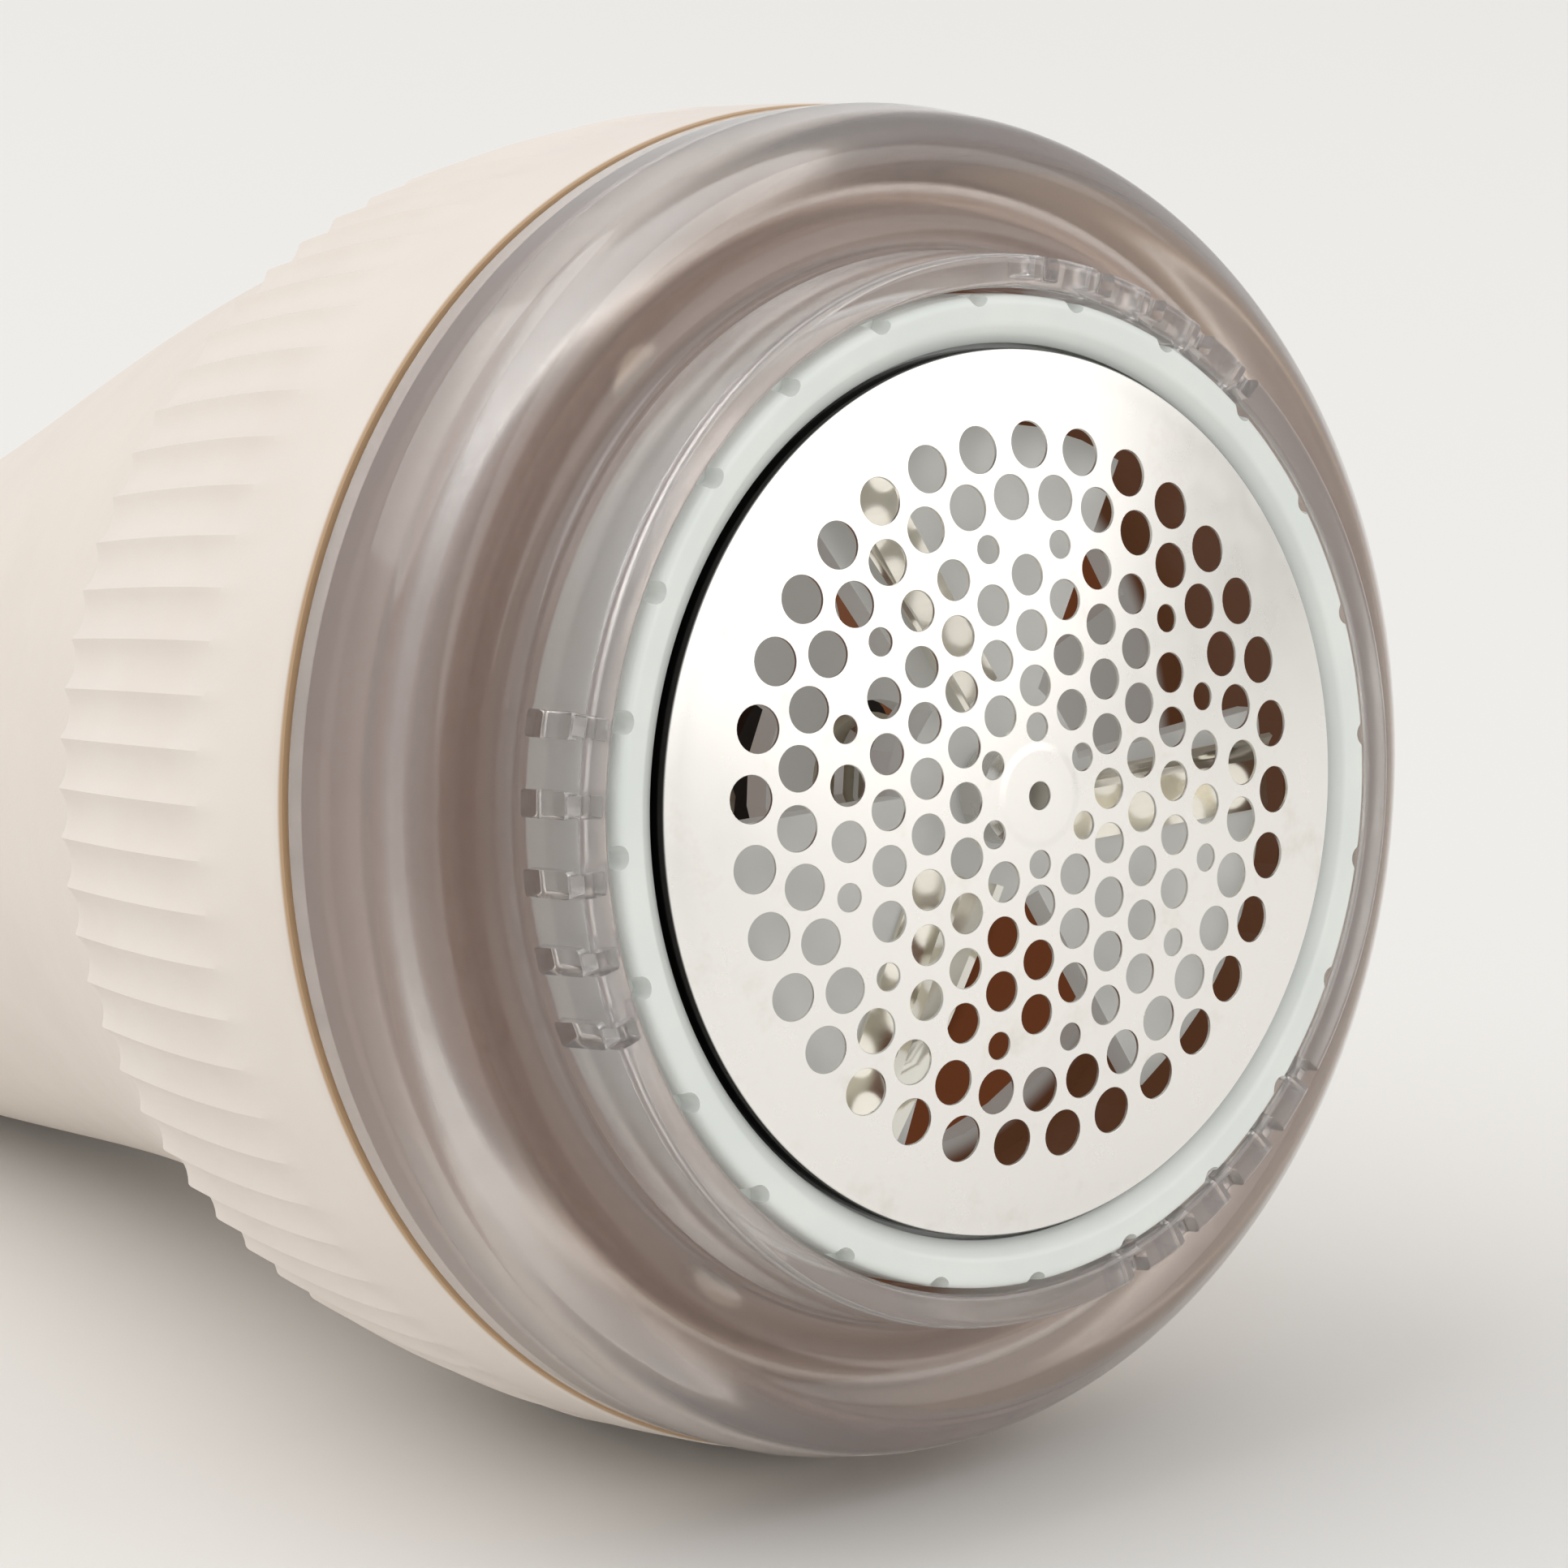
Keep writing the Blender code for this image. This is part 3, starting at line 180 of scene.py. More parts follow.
class Finish:
    def __init__(self, name):
        self.material = bpy.data.materials.new(name)
        self.material.use_nodes = True
        self.tree = self.material.node_tree
        self.shader = self.tree.nodes["Principled BSDF"]

    def node(self, kind, settings=None, inputs=None, output=0):
        made = self.tree.nodes.new("ShaderNode" + kind)
        for key, value in (settings or {}).items():
            if key == "stops":
                ramp = made.color_ramp
                while len(ramp.elements) < len(value):
                    ramp.elements.new(0.5)
                for element, (place, colour) in zip(ramp.elements, value):
                    element.position = place
                    element.color = (*colour, 1)
            else:
                setattr(made, key, value)
        for key, value in (inputs or {}).items():
            self.join(made.inputs[key], value)
        return Wire(self.tree, made.outputs[output])

    def join(self, socket, value):
        if isinstance(value, Wire):
            self.tree.links.new(value.socket, socket)
        elif isinstance(value, tuple) and len(value) == 3 and socket.type == "RGBA":
            socket.default_value = (*value, 1)
        else:
            socket.default_value = value

    def fill(self, name, value):
        self.join(self.shader.inputs[name], value)

    def spot(self):
        return self.node("TexCoord", output=3)

    def along(self, direction):  # distance of a point along a direction from the crown of the foil
        offset = self.node("VectorMath", {"operation": "SUBTRACT"}, {0: self.spot(), 1: tuple(crown)})
        settings = {"operation": "DOT_PRODUCT"}
        return self.node("VectorMath", settings, {0: offset, 1: tuple(direction)}, output="Value")

    def away(self):  # distance from the head's axis
        x, y = self.along(upward), self.along(across)
        return (x * x + y * y) ** 0.5

    def noise(self, size, detail=2.0, roughness=0.5):
        inputs = {"Vector": self.spot(), "Scale": 1 / size, "Detail": detail, "Roughness": roughness}
        return self.node("TexNoise", None, inputs)

    def fade(self, value, low, high, start=0.0, end=1.0):
        names = {"From Min": low, "From Max": high, "To Min": start, "To Max": end}
        settings = {"interpolation_type": "SMOOTHSTEP"}
        return self.node("MapRange", settings, {"Value": value, **names})

    def blend(self, amount, first, second):
        made = self.node("Mix", {"data_type": "RGBA"}, {"Factor": amount}, output=2)
        node = made.socket.node
        self.join(node.inputs[6], first)
        self.join(node.inputs[7], second)
        return made

    def bump(self, height, distance, strength=1.0):
        inputs = {"Height": height, "Distance": distance, "Strength": strength}
        self.fill("Normal", self.node("Bump", None, inputs))


def mouldedPlastic(name, colour, shade, roughness, grain=0.25 * mm, depth=0.012 * mm, coat=0.0, glow=None):
    # a spark-textured or polished moulding, with a faint drift in colour and gloss
    made = Finish(name)
    drift = made.noise(9 * mm, 3)
    made.fill("Base Color", made.blend(made.fade(drift, 0.3, 0.7), colour, shade))
    made.fill("Roughness", made.fade(made.noise(1.6 * mm, 4), 0.25, 0.75, roughness - 0.05, roughness + 0.06))
    made.fill("Specular IOR Level", 0.4)
    made.fill("Coat Weight", coat)
    if glow:  # daylight that comes through a thin wall
        # painted glow: emission standing in for daylight through a thin wall
        made.fill("Emission Color", made.blend(drift, glow, tuple(part * 0.7 for part in glow)))
        made.fill("Emission Strength", 1.0)
    made.bump(made.noise(grain, 3), depth)
    return made


def sheetSteel(name, colour, roughness, turned=False):
    # rolled or turned metal: fine lines, faint smears and a few dull spots
    made = Finish(name)
    if turned:
        grain = {"X": made.away() * 9000, "Y": made.along(forward) * 9000}
    else:
        grain = {"X": made.along(upward) * 4200, "Y": made.along(across) * 260}
    vector = made.node("CombineXYZ", None, grain)
    lines = made.node("TexNoise", None, {"Vector": vector, "Scale": 1.0, "Detail": 3.0})
    smear = made.fade(made.noise(7 * mm, 4, roughness=0.6), 0.42, 0.72)
    made.fill("Base Color", made.blend(smear, colour, tuple(part * 0.93 for part in colour)))
    made.fill("Metallic", 1.0)
    made.fill("Roughness", made.fade(lines, 0.3, 0.7, roughness - 0.012, roughness + 0.015) + smear * 0.05)
    if turned:
        made.bump(lines, 0.0012 * mm, 0.4)
    return made


def foilSteel():
    # satin sheet with a few stains; the flange round its edge is polished and painted near black, a painted
    # dark reflection
    made = Finish("foilSteel")
    stain = made.fade(made.noise(4 * mm, 4, roughness=0.65), 0.55, 0.8)
    flange = made.fade(made.away(), foil["darkFrom"], foil["darkFull"])
    sheet = made.blend(stain, (0.90, 0.885, 0.855), (0.80, 0.775, 0.73))
    # painted dark reflection: the flange's steel goes near black
    made.fill("Base Color", made.blend(flange, sheet, (0.03, 0.028, 0.027)))
    made.fill("Metallic", 1.0)
    satin = made.fade(made.noise(2 * mm, 4), 0.3, 0.7, 0.27, 0.32)
    made.fill("Roughness", satin + stain * 0.08 - flange * 0.2)
    made.bump(made.noise(0.12 * mm, 3), 0.0006 * mm, 0.6)
    return made


def clearGuard():
    # frosted clear moulding; the glossy collar and rim are smoother than the valley between them. The valley
    # and the outer wall carry painted shade, a warm tan standing in for the shade inside the head seen
    # through the wall
    made = Finish("frostedClearPlastic")
    radius = made.away()
    # the hollow of the valley, used for its painted shade and a rougher finish
    valley = made.fade(radius, 28.5 * mm, 29.6 * mm) * made.fade(radius, 35.0 * mm, 32.6 * mm)
    outside = made.fade(radius, 35.4 * mm, 36.2 * mm)
    cloud = made.fade(made.noise(12 * mm, 3), 0.25, 0.75)
    # painted shade in the valley, over a random cloudy tone
    cloudAndPaintedShade = made.blend(valley, made.blend(cloud, (0.97, 0.95, 0.95), (0.93, 0.895, 0.87)), (0.80, 0.67, 0.59))
    # painted shade on the outer wall
    cloudAndPaintedShade = made.blend(outside * 0.8, cloudAndPaintedShade, (0.84, 0.76, 0.70))
    made.fill("Base Color", cloudAndPaintedShade)
    made.fill("Roughness", made.fade(made.noise(1.2 * mm, 3), 0.3, 0.7, 0.1, 0.15) + valley * 0.12)
    made.fill("Transmission Weight", 0.86)
    made.fill("IOR", 1.49)
    made.fill("Coat Weight", 0.7)
    made.fill("Coat Roughness", 0.07)
    made.bump(made.noise(3.4 * mm, 1), 0.03 * mm, 0.5)
    return made


def dialWithSeamShade():
    # the cream of the grip, with a thin tan line of painted shade along the front edge, where the seam with
    # the guard falls
    made = mouldedPlastic("dialPlastic", (0.815, 0.745, 0.68), (0.79, 0.715, 0.65), 0.46, depth=0.008 * mm)
    plain = made.shader.inputs["Base Color"].links[0].from_socket
    # painted shade of the seam gap
    edge = made.fade(made.along(forward), -17.62 * mm, -17.42 * mm)
    made.fill("Base Color", made.blend(edge, Wire(made.tree, plain), (0.50, 0.33, 0.19)))
    return made


def litHousing():
    # brown painted shade standing in for the shade inside the head, with a painted glow for daylight through
    # the wall of the lint chamber only
    made = mouldedPlastic("housingPaintedShade", (0.30, 0.125, 0.06), (0.24, 0.10, 0.05), 0.42, depth=0.004 * mm)
    # painted glow over the lint chamber
    chamber = made.fade(made.along(forward), -37 * mm, -34 * mm)
    made.fill("Emission Color", made.blend(chamber, (0.0, 0.0, 0.0), (0.08, 0.028, 0.011)))
    made.fill("Emission Strength", 1.0)
    return made


def shadedBowl():
    # a grey floor and a wall painted dark brown as painted shade; a painted glow lights the floor and,
    # fainter, the wall
    made = mouldedPlastic("bowlPlastic", (0.60, 0.60, 0.58), (0.54, 0.54, 0.52), 0.34, depth=0.004 * mm)
    plain = made.shader.inputs["Base Color"].links[0].from_socket
    wall = made.fade(made.away(), 20.6 * mm, 21.8 * mm)
    # painted shade on the wall
    made.fill("Base Color", made.blend(wall, Wire(made.tree, plain), (0.14, 0.06, 0.03)))
    # painted glow, brighter on the floor than on the wall
    made.fill("Emission Color", made.blend(wall, (0.14, 0.14, 0.133), (0.045, 0.019, 0.009)))
    made.fill("Emission Strength", 1.0)
    return made


def milkyRing():
    made = Finish("milkyGlossPlastic")
    cloud = made.fade(made.noise(6 * mm, 3), 0.3, 0.7)
    made.fill("Base Color", made.blend(cloud, (0.80, 0.83, 0.80), (0.76, 0.80, 0.77)))
    made.fill("Roughness", made.fade(made.noise(2 * mm, 4), 0.3, 0.7, 0.13, 0.2))
    made.fill("Subsurface Weight", 0.12)
    made.fill("Subsurface Radius", (0.0012, 0.0012, 0.001))
    made.bump(made.noise(2.2 * mm, 2), 0.006 * mm)
    return made


def copperWinding():
    made = Finish("copperWinding")
    wave = {"Vector": made.spot(), "Scale": 900.0, "Distortion": 1.2}
    turns = made.node("TexWave", {"bands_direction": "X"}, wave)
    made.fill("Base Color", made.blend(turns, (0.66, 0.33, 0.16), (0.83, 0.5, 0.28)))
    made.fill("Metallic", 1.0)
    made.fill("Roughness", made.fade(made.noise(1 * mm), 0.3, 0.7, 0.28, 0.42))
    made.bump(turns, 0.08 * mm)
    return made


def circuitBoard():
    made = Finish("circuitBoard")
    cells = made.node("TexVoronoi", {"feature": "DISTANCE_TO_EDGE"}, {"Vector": made.spot(), "Scale": 620.0})
    track = made.fade(cells, 0.05, 0.09)
    made.fill("Base Color", made.blend(track, (0.10, 0.36, 0.20), (0.04, 0.22, 0.11)))
    made.fill("Roughness", made.fade(made.noise(1.4 * mm), 0.3, 0.7, 0.34, 0.46))
    made.bump(track, 0.02 * mm)
    return made


def makeFinishes():
    grainless = 0.004 * mm
    return {
        "foil": foilSteel(),
        "steel": sheetSteel("sheetSteel", (0.86, 0.845, 0.81), 0.2),
        "turnedSteel": sheetSteel("turnedSteel", (0.74, 0.73, 0.70), 0.24, True),
        "blade": sheetSteel("bladeSteel", (0.90, 0.87, 0.78), 0.14),
        "nickel": sheetSteel("nickelPlate", (0.74, 0.72, 0.67), 0.26, True),
        "brass": sheetSteel("turnedBrass", (0.80, 0.62, 0.32), 0.26, True),
        "copper": copperWinding(),
        "cream": mouldedPlastic("creamPlastic", (0.80, 0.725, 0.655), (0.775, 0.70, 0.63), 0.5),
        "dial": dialWithSeamShade(),
        "white": milkyRing(),
        "smoke": clearGuard(),
        # the hub's grey gets a painted glow
        "grey": mouldedPlastic("greyPlastic", (0.60, 0.60, 0.58), (0.54, 0.54, 0.52), 0.34, depth=grainless,
                               glow=(0.15, 0.15, 0.143)),
        "bowl": shadedBowl(),
        "brown": litHousing(),
        "black": mouldedPlastic("blackPlastic", (0.035, 0.035, 0.038), (0.025, 0.025, 0.028), 0.45),
        "ferrite": mouldedPlastic("sinteredFerrite", (0.09, 0.09, 0.095), (0.06, 0.06, 0.065), 0.7,
                                  0.12 * mm, 0.02 * mm),
        "rubber": mouldedPlastic("sealRubber", (0.05, 0.05, 0.05), (0.035, 0.035, 0.035), 0.75),
        "nylon": mouldedPlastic("naturalNylon", (0.74, 0.70, 0.58), (0.69, 0.65, 0.53), 0.42),
        "button": mouldedPlastic("whitePlastic", (0.84, 0.83, 0.80), (0.81, 0.80, 0.77), 0.3,
                                 depth=grainless),
        "wrap": mouldedPlastic("cellWrap", (0.07, 0.22, 0.46), (0.05, 0.18, 0.40), 0.28, depth=grainless,
                               coat=0.4),
        "red": mouldedPlastic("redInsulation", (0.45, 0.025, 0.02), (0.38, 0.02, 0.016), 0.4),
        "lamp": mouldedPlastic("lampResin", (0.85, 0.82, 0.62), (0.8, 0.77, 0.56), 0.2, depth=grainless),
        "board": circuitBoard(),
    }


def softened(points, steps=5):  # rounds the corners of a closed outline of (radius, height, fillet) points
    made = []
    count = len(points)
    for i, (r, z, fillet) in enumerate(points):
        here = Vector((r, z))
        before, after = Vector(points[i - 1][:2]), Vector(points[(i + 1) % count][:2])
        if not fillet:
            made.append((r, z))
            continue
        back, on = before - here, after - here
        half = back.angle(on) / 2
        reach = min(fillet / math.tan(half), back.length * 0.48, on.length * 0.48)
        start, end = here + back.normalized() * reach, here + on.normalized() * reach
        for step in range(steps + 1):
            t = step / steps
            spot = start * (1 - t) ** 2 + here * 2 * t * (1 - t) + end * t * t
            made.append((spot.x, spot.y))
    return made


def turn(profile, steps, closed=True, sweep=360, begin=0):  # spins a (radius, height) outline about the axis
    shape = bmesh.new()
    rotate = Matrix.Rotation(math.radians(begin), 3, "Z")
    spots = [shape.verts.new(rotate @ Vector((r, 0, z))) for r, z in profile]
    pairs = list(zip(spots, spots[1:] + spots[:1])) if closed else list(zip(spots, spots[1:]))
    edges = [shape.edges.new(pair) for pair in pairs]
    bmesh.ops.spin(shape, geom=spots + edges, axis=(0, 0, 1), cent=(0, 0, 0), angle=math.radians(sweep),
                   steps=steps, use_merge=sweep == 360)
    bmesh.ops.remove_doubles(shape, verts=shape.verts, dist=1e-7)
    if sweep < 360:
        bmesh.ops.holes_fill(shape, edges=[edge for edge in shape.edges if edge.is_boundary], sides=0)
    bmesh.ops.recalc_face_normals(shape, faces=shape.faces)
    return shape


def block(shape, low, high, edge=0.0, matrix=None, segments=3):
    # adds a box, with rounded edges where an edge radius is given
    low, high = Vector(low), Vector(high)
    size = high - low
    made = bmesh.ops.create_cube(shape, size=1, matrix=Matrix.Translation((low + high) / 2)
                                 @ Matrix.Diagonal((*size, 1)))
    if edge:
        edges = list({edge for vert in made["verts"] for edge in vert.link_edges})
        result = bmesh.ops.bevel(shape, geom=edges, offset=edge, offset_type="OFFSET", segments=segments,
                                 affect="EDGES", profile=0.5, material=-1)
        made["verts"] = list({vert for face in result["faces"] for vert in face.verts} | set(
            vert for vert in made["verts"] if vert.is_valid))
    if matrix:
        bmesh.ops.transform(shape, matrix=matrix, verts=[vert for vert in made["verts"] if vert.is_valid])


def rod(shape, start, end, radius, steps, endRadius=None):
    start, end = Vector(start), Vector(end)
    along = end - start
    matrix = Matrix.Translation((start + end) / 2) @ along.to_track_quat("Z", "Y").to_matrix().to_4x4()
    bmesh.ops.create_cone(shape, cap_ends=True, segments=steps, radius1=radius, radius2=endRadius or radius,
                          depth=along.length, matrix=matrix)


def toMesh(name, shape):
    mesh = bpy.data.meshes.new(name)
    shape.to_mesh(mesh)
    shape.free()
    return mesh


def carve(mesh, cutter, operation="DIFFERENCE"):  # the mesh after a cut with, or a union to, the cutter
    bmesh.ops.recalc_face_normals(cutter, faces=cutter.faces)
    pair = []
    for data in (mesh, toMesh("cutter", cutter)):
        thing = bpy.data.objects.new("work", data)
        bpy.context.scene.collection.objects.link(thing)
        pair.append(thing)
    change = pair[0].modifiers.new("Carve", "BOOLEAN")
    change.operation = operation
    change.object = pair[1]
    graph = bpy.context.evaluated_depsgraph_get()
    graph.update()
    made = bpy.data.meshes.new_from_object(pair[0].evaluated_get(graph))
    for thing in pair:
        bpy.data.objects.remove(thing, do_unlink=True)
    return made


def finishPiece(name, mesh, matrix, body, finish, nodes=(), sharp=32):
    # puts a mesh in place as a named piece that rides on a body and stands for its nodes
    if isinstance(mesh, bmesh.types.BMesh):
        mesh = toMesh(name, mesh)
    mesh.transform(matrix)
    mesh.shade_smooth()
    mesh.set_sharp_from_angle(angle=math.radians(sharp))
    mesh.materials.clear()
    mesh.materials.append(finish.material)
    piece = bpy.data.objects.new(name, mesh)
    bpy.context.scene.collection.objects.link(piece)
    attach(piece, body)
    if nodes:
        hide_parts(*nodes)
    return piece


def polar(radius, degrees, height=0.0):
    angle = math.radians(degrees)
    return Vector((radius * math.cos(angle), radius * math.sin(angle), height))


foil = {
    "radius": 23.45 * mm, "thickness": 0.16 * mm, "rise": 4.37, "turn": -95.3, "corner": 0.14 * mm,
    # darkFrom and darkFull bound the painted dark reflection on the flange
    "flange": 1.5 * mm, "darkFrom": 23.34 * mm, "darkFull": 23.43 * mm,
    "boss": 2.6 * mm, "bossFlat": 1.2 * mm, "bossLift": 0.03 * mm, "steps": 180, "rings": 24,
    "lip": 0.045 * mm, "cutAbove": 0.4 * mm, "cutBelow": 0.5 * mm, "holeSteps": 32,
}
holes = {
    "pitch": 2.9 * mm, "radius": 1.07 * mm, "small": 0.74 * mm, "count": 32, "inner": 1.25,
    "rounds": ((15.7 * mm, 1.2 * mm, 2.0), (18.4 * mm, 1.25 * mm, 7.7)),  # radius, hole, first angle
    "rows": 5, "from": 1.5, "to": 5.2, "reach": 4.9, "smallFrom": 4.5, "smallReach": 4.45,  # in pitches
}


def dome(radius):
    return -foil["rise"] * radius * radius


def foilHoles():  # (x, y, radius) of each hole: a hexagonal field inside two rounds
    pitch, row = holes["pitch"], holes["pitch"] * math.sqrt(3) / 2
    rows = holes["rows"]
    found = [(0.0, 0.0, holes["small"])]
    for i in range(-rows, rows + 1):
        for j in range(-2 * rows - 1, 2 * rows + 2):
            x, y = row * i, pitch * j / 2
            reach = math.hypot(x, y) / pitch
            ring = max(abs(i), (abs(i) + abs(j)) / 2)
            if (i + j) % 2 or ring < holes["from"] or ring > holes["to"] or reach > holes["reach"]:
                continue
            small = ring > holes["smallFrom"] and reach > holes["smallReach"]
            found.append((x, y, holes["small"] if small else holes["radius"]))
    spots = [(holes["inner"] * pitch, 30 + 60 * i, holes["small"]) for i in range(6)]
    for radius, hole, start in holes["rounds"]:
        spots += [(radius, start + 360 * i / holes["count"], hole) for i in range(holes["count"])]
    found += [(*polar(radius, degrees).xy, hole) for radius, degrees, hole in spots]
    spin = Matrix.Rotation(math.radians(foil["turn"]), 2)
    return [(*(spin @ Vector((x, y))), radius) for x, y, radius in found]


def foilOutline():  # a domed sheet with a raised boss in the middle, a rounded corner and a flange
    edge, thick, boss, corner = foil["radius"], foil["thickness"], foil["boss"], foil["corner"]
    radii = [0, foil["bossFlat"]] + [boss + step * mm for step in (-0.3, -0.1, 0.1, 0.3)]
    radii += [boss + (edge - boss) * i / foil["rings"] for i in range(1, foil["rings"] + 1)]
    outer = [(radius, dome(radius) + (foil["bossLift"] if radius < boss else 0.0)) for radius in radii]
    inner = [(radius, height - thick) for radius, height in reversed(outer[:-1])]
    outer[-1:] = [(edge - corner * (1 - math.sin(turned)), dome(edge) - corner * (1 - math.cos(turned)))
                  for turned in (math.pi * i / 12 for i in range(7))]
    foot = dome(edge) - foil["flange"]
    outer += [(edge, foot), (edge - thick, foot), (edge - thick, dome(edge) - corner - thick)]
    return outer + inner


def makeFoil(finishes):
    mesh = toMesh("foil", turn(foilOutline(), foil["steps"], closed=False))
    cutter = bmesh.new()
    lip, above, below = foil["lip"], foil["cutAbove"], foil["cutBelow"]
    for x, y, radius in foilHoles():
        away = math.hypot(x, y)
        normal = Vector((2 * foil["rise"] * x, 2 * foil["rise"] * y, 1))
        height = dome(away) + (foil["bossLift"] if away < foil["boss"] else 0)
        place = Matrix.Translation((x, y, height)) @ normal.to_track_quat("Z", "Y").to_matrix().to_4x4()
        profile = [(0, above), (radius + lip + 0.1 * mm, above), (radius + lip, 0.002 * mm),
                   (radius + lip * 0.3, -lip * 0.6), (radius, -lip * 1.4), (radius, -below), (0, -below)]
        hole = turn(profile, foil["holeSteps"], closed=False)
        hole.transform(place)
        part = toMesh("hole", hole)
        cutter.from_mesh(part)
        bpy.data.meshes.remove(part)
    mesh = carve(mesh, cutter)
    finishPiece("foilSheet", mesh, headFrame, "net_ring", finishes["foil"], ["foil_net"], 24)


ring = {
    "radius": 26.3 * mm, "face": -2.4 * mm, "length": 6.6 * mm, "bore": 23.7 * mm, "lip": 0.72 * mm,
    "shoulder": 24.7 * mm, "sleeve": 24.6 * mm, "sleeveTop": -4.9 * mm,
    "seat": 22.3 * mm, "seatBack": -4.6 * mm, "seatFace": -3.9 * mm,
    "notches": 24, "notchTurn": -92.5, "notchRadius": 0.62 * mm, "notchDepth": 1.3 * mm, "notchSteps": 20,
}


def makeFoilRing(finishes):
    outside, face, end = ring["radius"], ring["face"], ring["face"] - ring["length"]
    profile = softened([
        (ring["bore"], face - ring["lip"], 0.1 * mm), (ring["shoulder"], face - 0.1 * mm, 0.8 * mm),
        (outside - 0.1 * mm, face, 0.5 * mm), (outside, face - 1.1 * mm, 0.4 * mm), (outside, end, 0.2 * mm),
        (ring["sleeve"], end, 0.2 * mm), (ring["sleeve"], ring["sleeveTop"], 0.2 * mm),
        (ring["seat"], ring["seatBack"], 0.2 * mm), (ring["seat"], ring["seatFace"], 0.08 * mm),
        (ring["bore"] - 0.02 * mm, ring["seatFace"], 0),
    ])
    mesh = toMesh("ring", turn(profile, 216))
    cutter = bmesh.new()
    size = ring["notchRadius"]
    for i in range(ring["notches"]):
        spot = polar(outside + 0.08 * mm, ring["notchTurn"] + 360 * i / ring["notches"])
        rod(cutter, (*spot.xy, face - ring["notchDepth"]), (*spot.xy, face + 0.8 * mm), size * 0.8,
            ring["notchSteps"], size * 1.35)
    mesh = carve(mesh, cutter)
    finishPiece("foilRing", mesh, headFrame, "net_ring", finishes["white"], ["foil_ring"])


guard = {
    "bore": 26.6 * mm, "lip": 1.8 * mm, "face": -2.7 * mm, "foot": -8.5 * mm, "valley": 30.4 * mm,
    "crest": 33.8 * mm, "outside": 36.5 * mm, "end": -16.9 * mm, "skirt": 34.3 * mm, "skirtBore": 33.0 * mm,
    "skirtEnd": -25.5 * mm,
    "slot": 1.45 * mm, "slotPitch": 8.2, "slotGroups": (90, 210, 330), "slotsEachSide": 2,
    "slotIn": 1.05 * mm, "slotOut": 1.6 * mm, "slotFloor": 1.0 * mm, "slotTop": 1.35 * mm,
    "notchIn": 0.45 * mm, "notchOut": 0.6 * mm, "notchFloor": 1.15 * mm, "notchShare": 0.85,
}


def makeGuard(finishes):
    bore, foot, face = guard["bore"], guard["foot"], guard["face"]
    collar = bore + guard["lip"]
    profile = softened([
        (bore, face - 0.1 * mm, 0.35 * mm), (collar, face, 0.5 * mm),
        (collar + 0.25 * mm, foot + 0.1 * mm, 1.6 * mm), (guard["valley"], foot - 0.75 * mm, 3.0 * mm),
        (guard["crest"], foot + 0.55 * mm, 2.6 * mm),
        (guard["outside"] - 0.5 * mm, foot - 1.4 * mm, 2.2 * mm),
        (guard["outside"], foot - 4.6 * mm, 2 * mm), (guard["outside"] - 0.1 * mm, guard["end"], 0.2 * mm),
        (guard["skirt"], guard["end"], 0), (guard["skirt"], guard["skirtEnd"], 0.3 * mm),
        (guard["skirtBore"], guard["skirtEnd"], 0.3 * mm), (guard["skirtBore"], foot - 4.8 * mm, 2 * mm),
        (guard["crest"] - 1.3 * mm, foot - 2.4 * mm, 2 * mm), (guard["valley"], foot - 2.5 * mm, 2 * mm),
        (bore, foot - 1.0 * mm, 0.6 * mm),
    ], 8)
    mesh = toMesh("guard", turn(profile, 216))
    cutter = bmesh.new()
    half = guard["slot"] / 2
    narrow = half * guard["notchShare"]
    side = guard["slotsEachSide"]
    for group in guard["slotGroups"]:
        for i in range(-side, side + 1):
            matrix = Matrix.Rotation(math.radians(group + guard["slotPitch"] * i), 4, "Z")
            block(cutter, (collar - guard["slotIn"], -half, foot + guard["slotFloor"]),
                  (collar + guard["slotOut"], half, face - guard["slotTop"]), 0.22 * mm, matrix)
            block(cutter, (bore + guard["notchIn"], -narrow, face - guard["notchFloor"]),
                  (collar + guard["notchOut"], narrow, face + 0.6 * mm), 0.18 * mm, matrix)
    mesh = carve(mesh, cutter)
    finishPiece("fabricGuard", mesh, headFrame, "guard", finishes["smoke"], ["fabric_guard"], 40)


dial = {
    "radius": 36.58 * mm, "front": -17.2 * mm, "back": -41.1 * mm, "backRadius": 34.2 * mm, "bore": 34.6 * mm,
    "drawFrom": -24.2 * mm, "drawPower": 1.55, "boreStep": 10.1 * mm, "steps": 44,
    "lipBore": 31.4 * mm, "lipLength": 3.8 * mm, "lipStep": 1.7 * mm,
    "flutes": 80, "depth": 0.5 * mm, "fadeStart": -21.5 * mm, "fadeEnd": -28.5 * mm, "perFlute": 8,
    "hollowPower": 2.2, "skin": 0.9 * mm,
}


def dialRadius(height):  # straight at the front, then drawn in towards the grip
    back = max(0.0, (dial["drawFrom"] - height) / (dial["drawFrom"] - dial["back"]))
    return dial["radius"] - (dial["radius"] - dial["backRadius"]) * back ** dial["drawPower"]


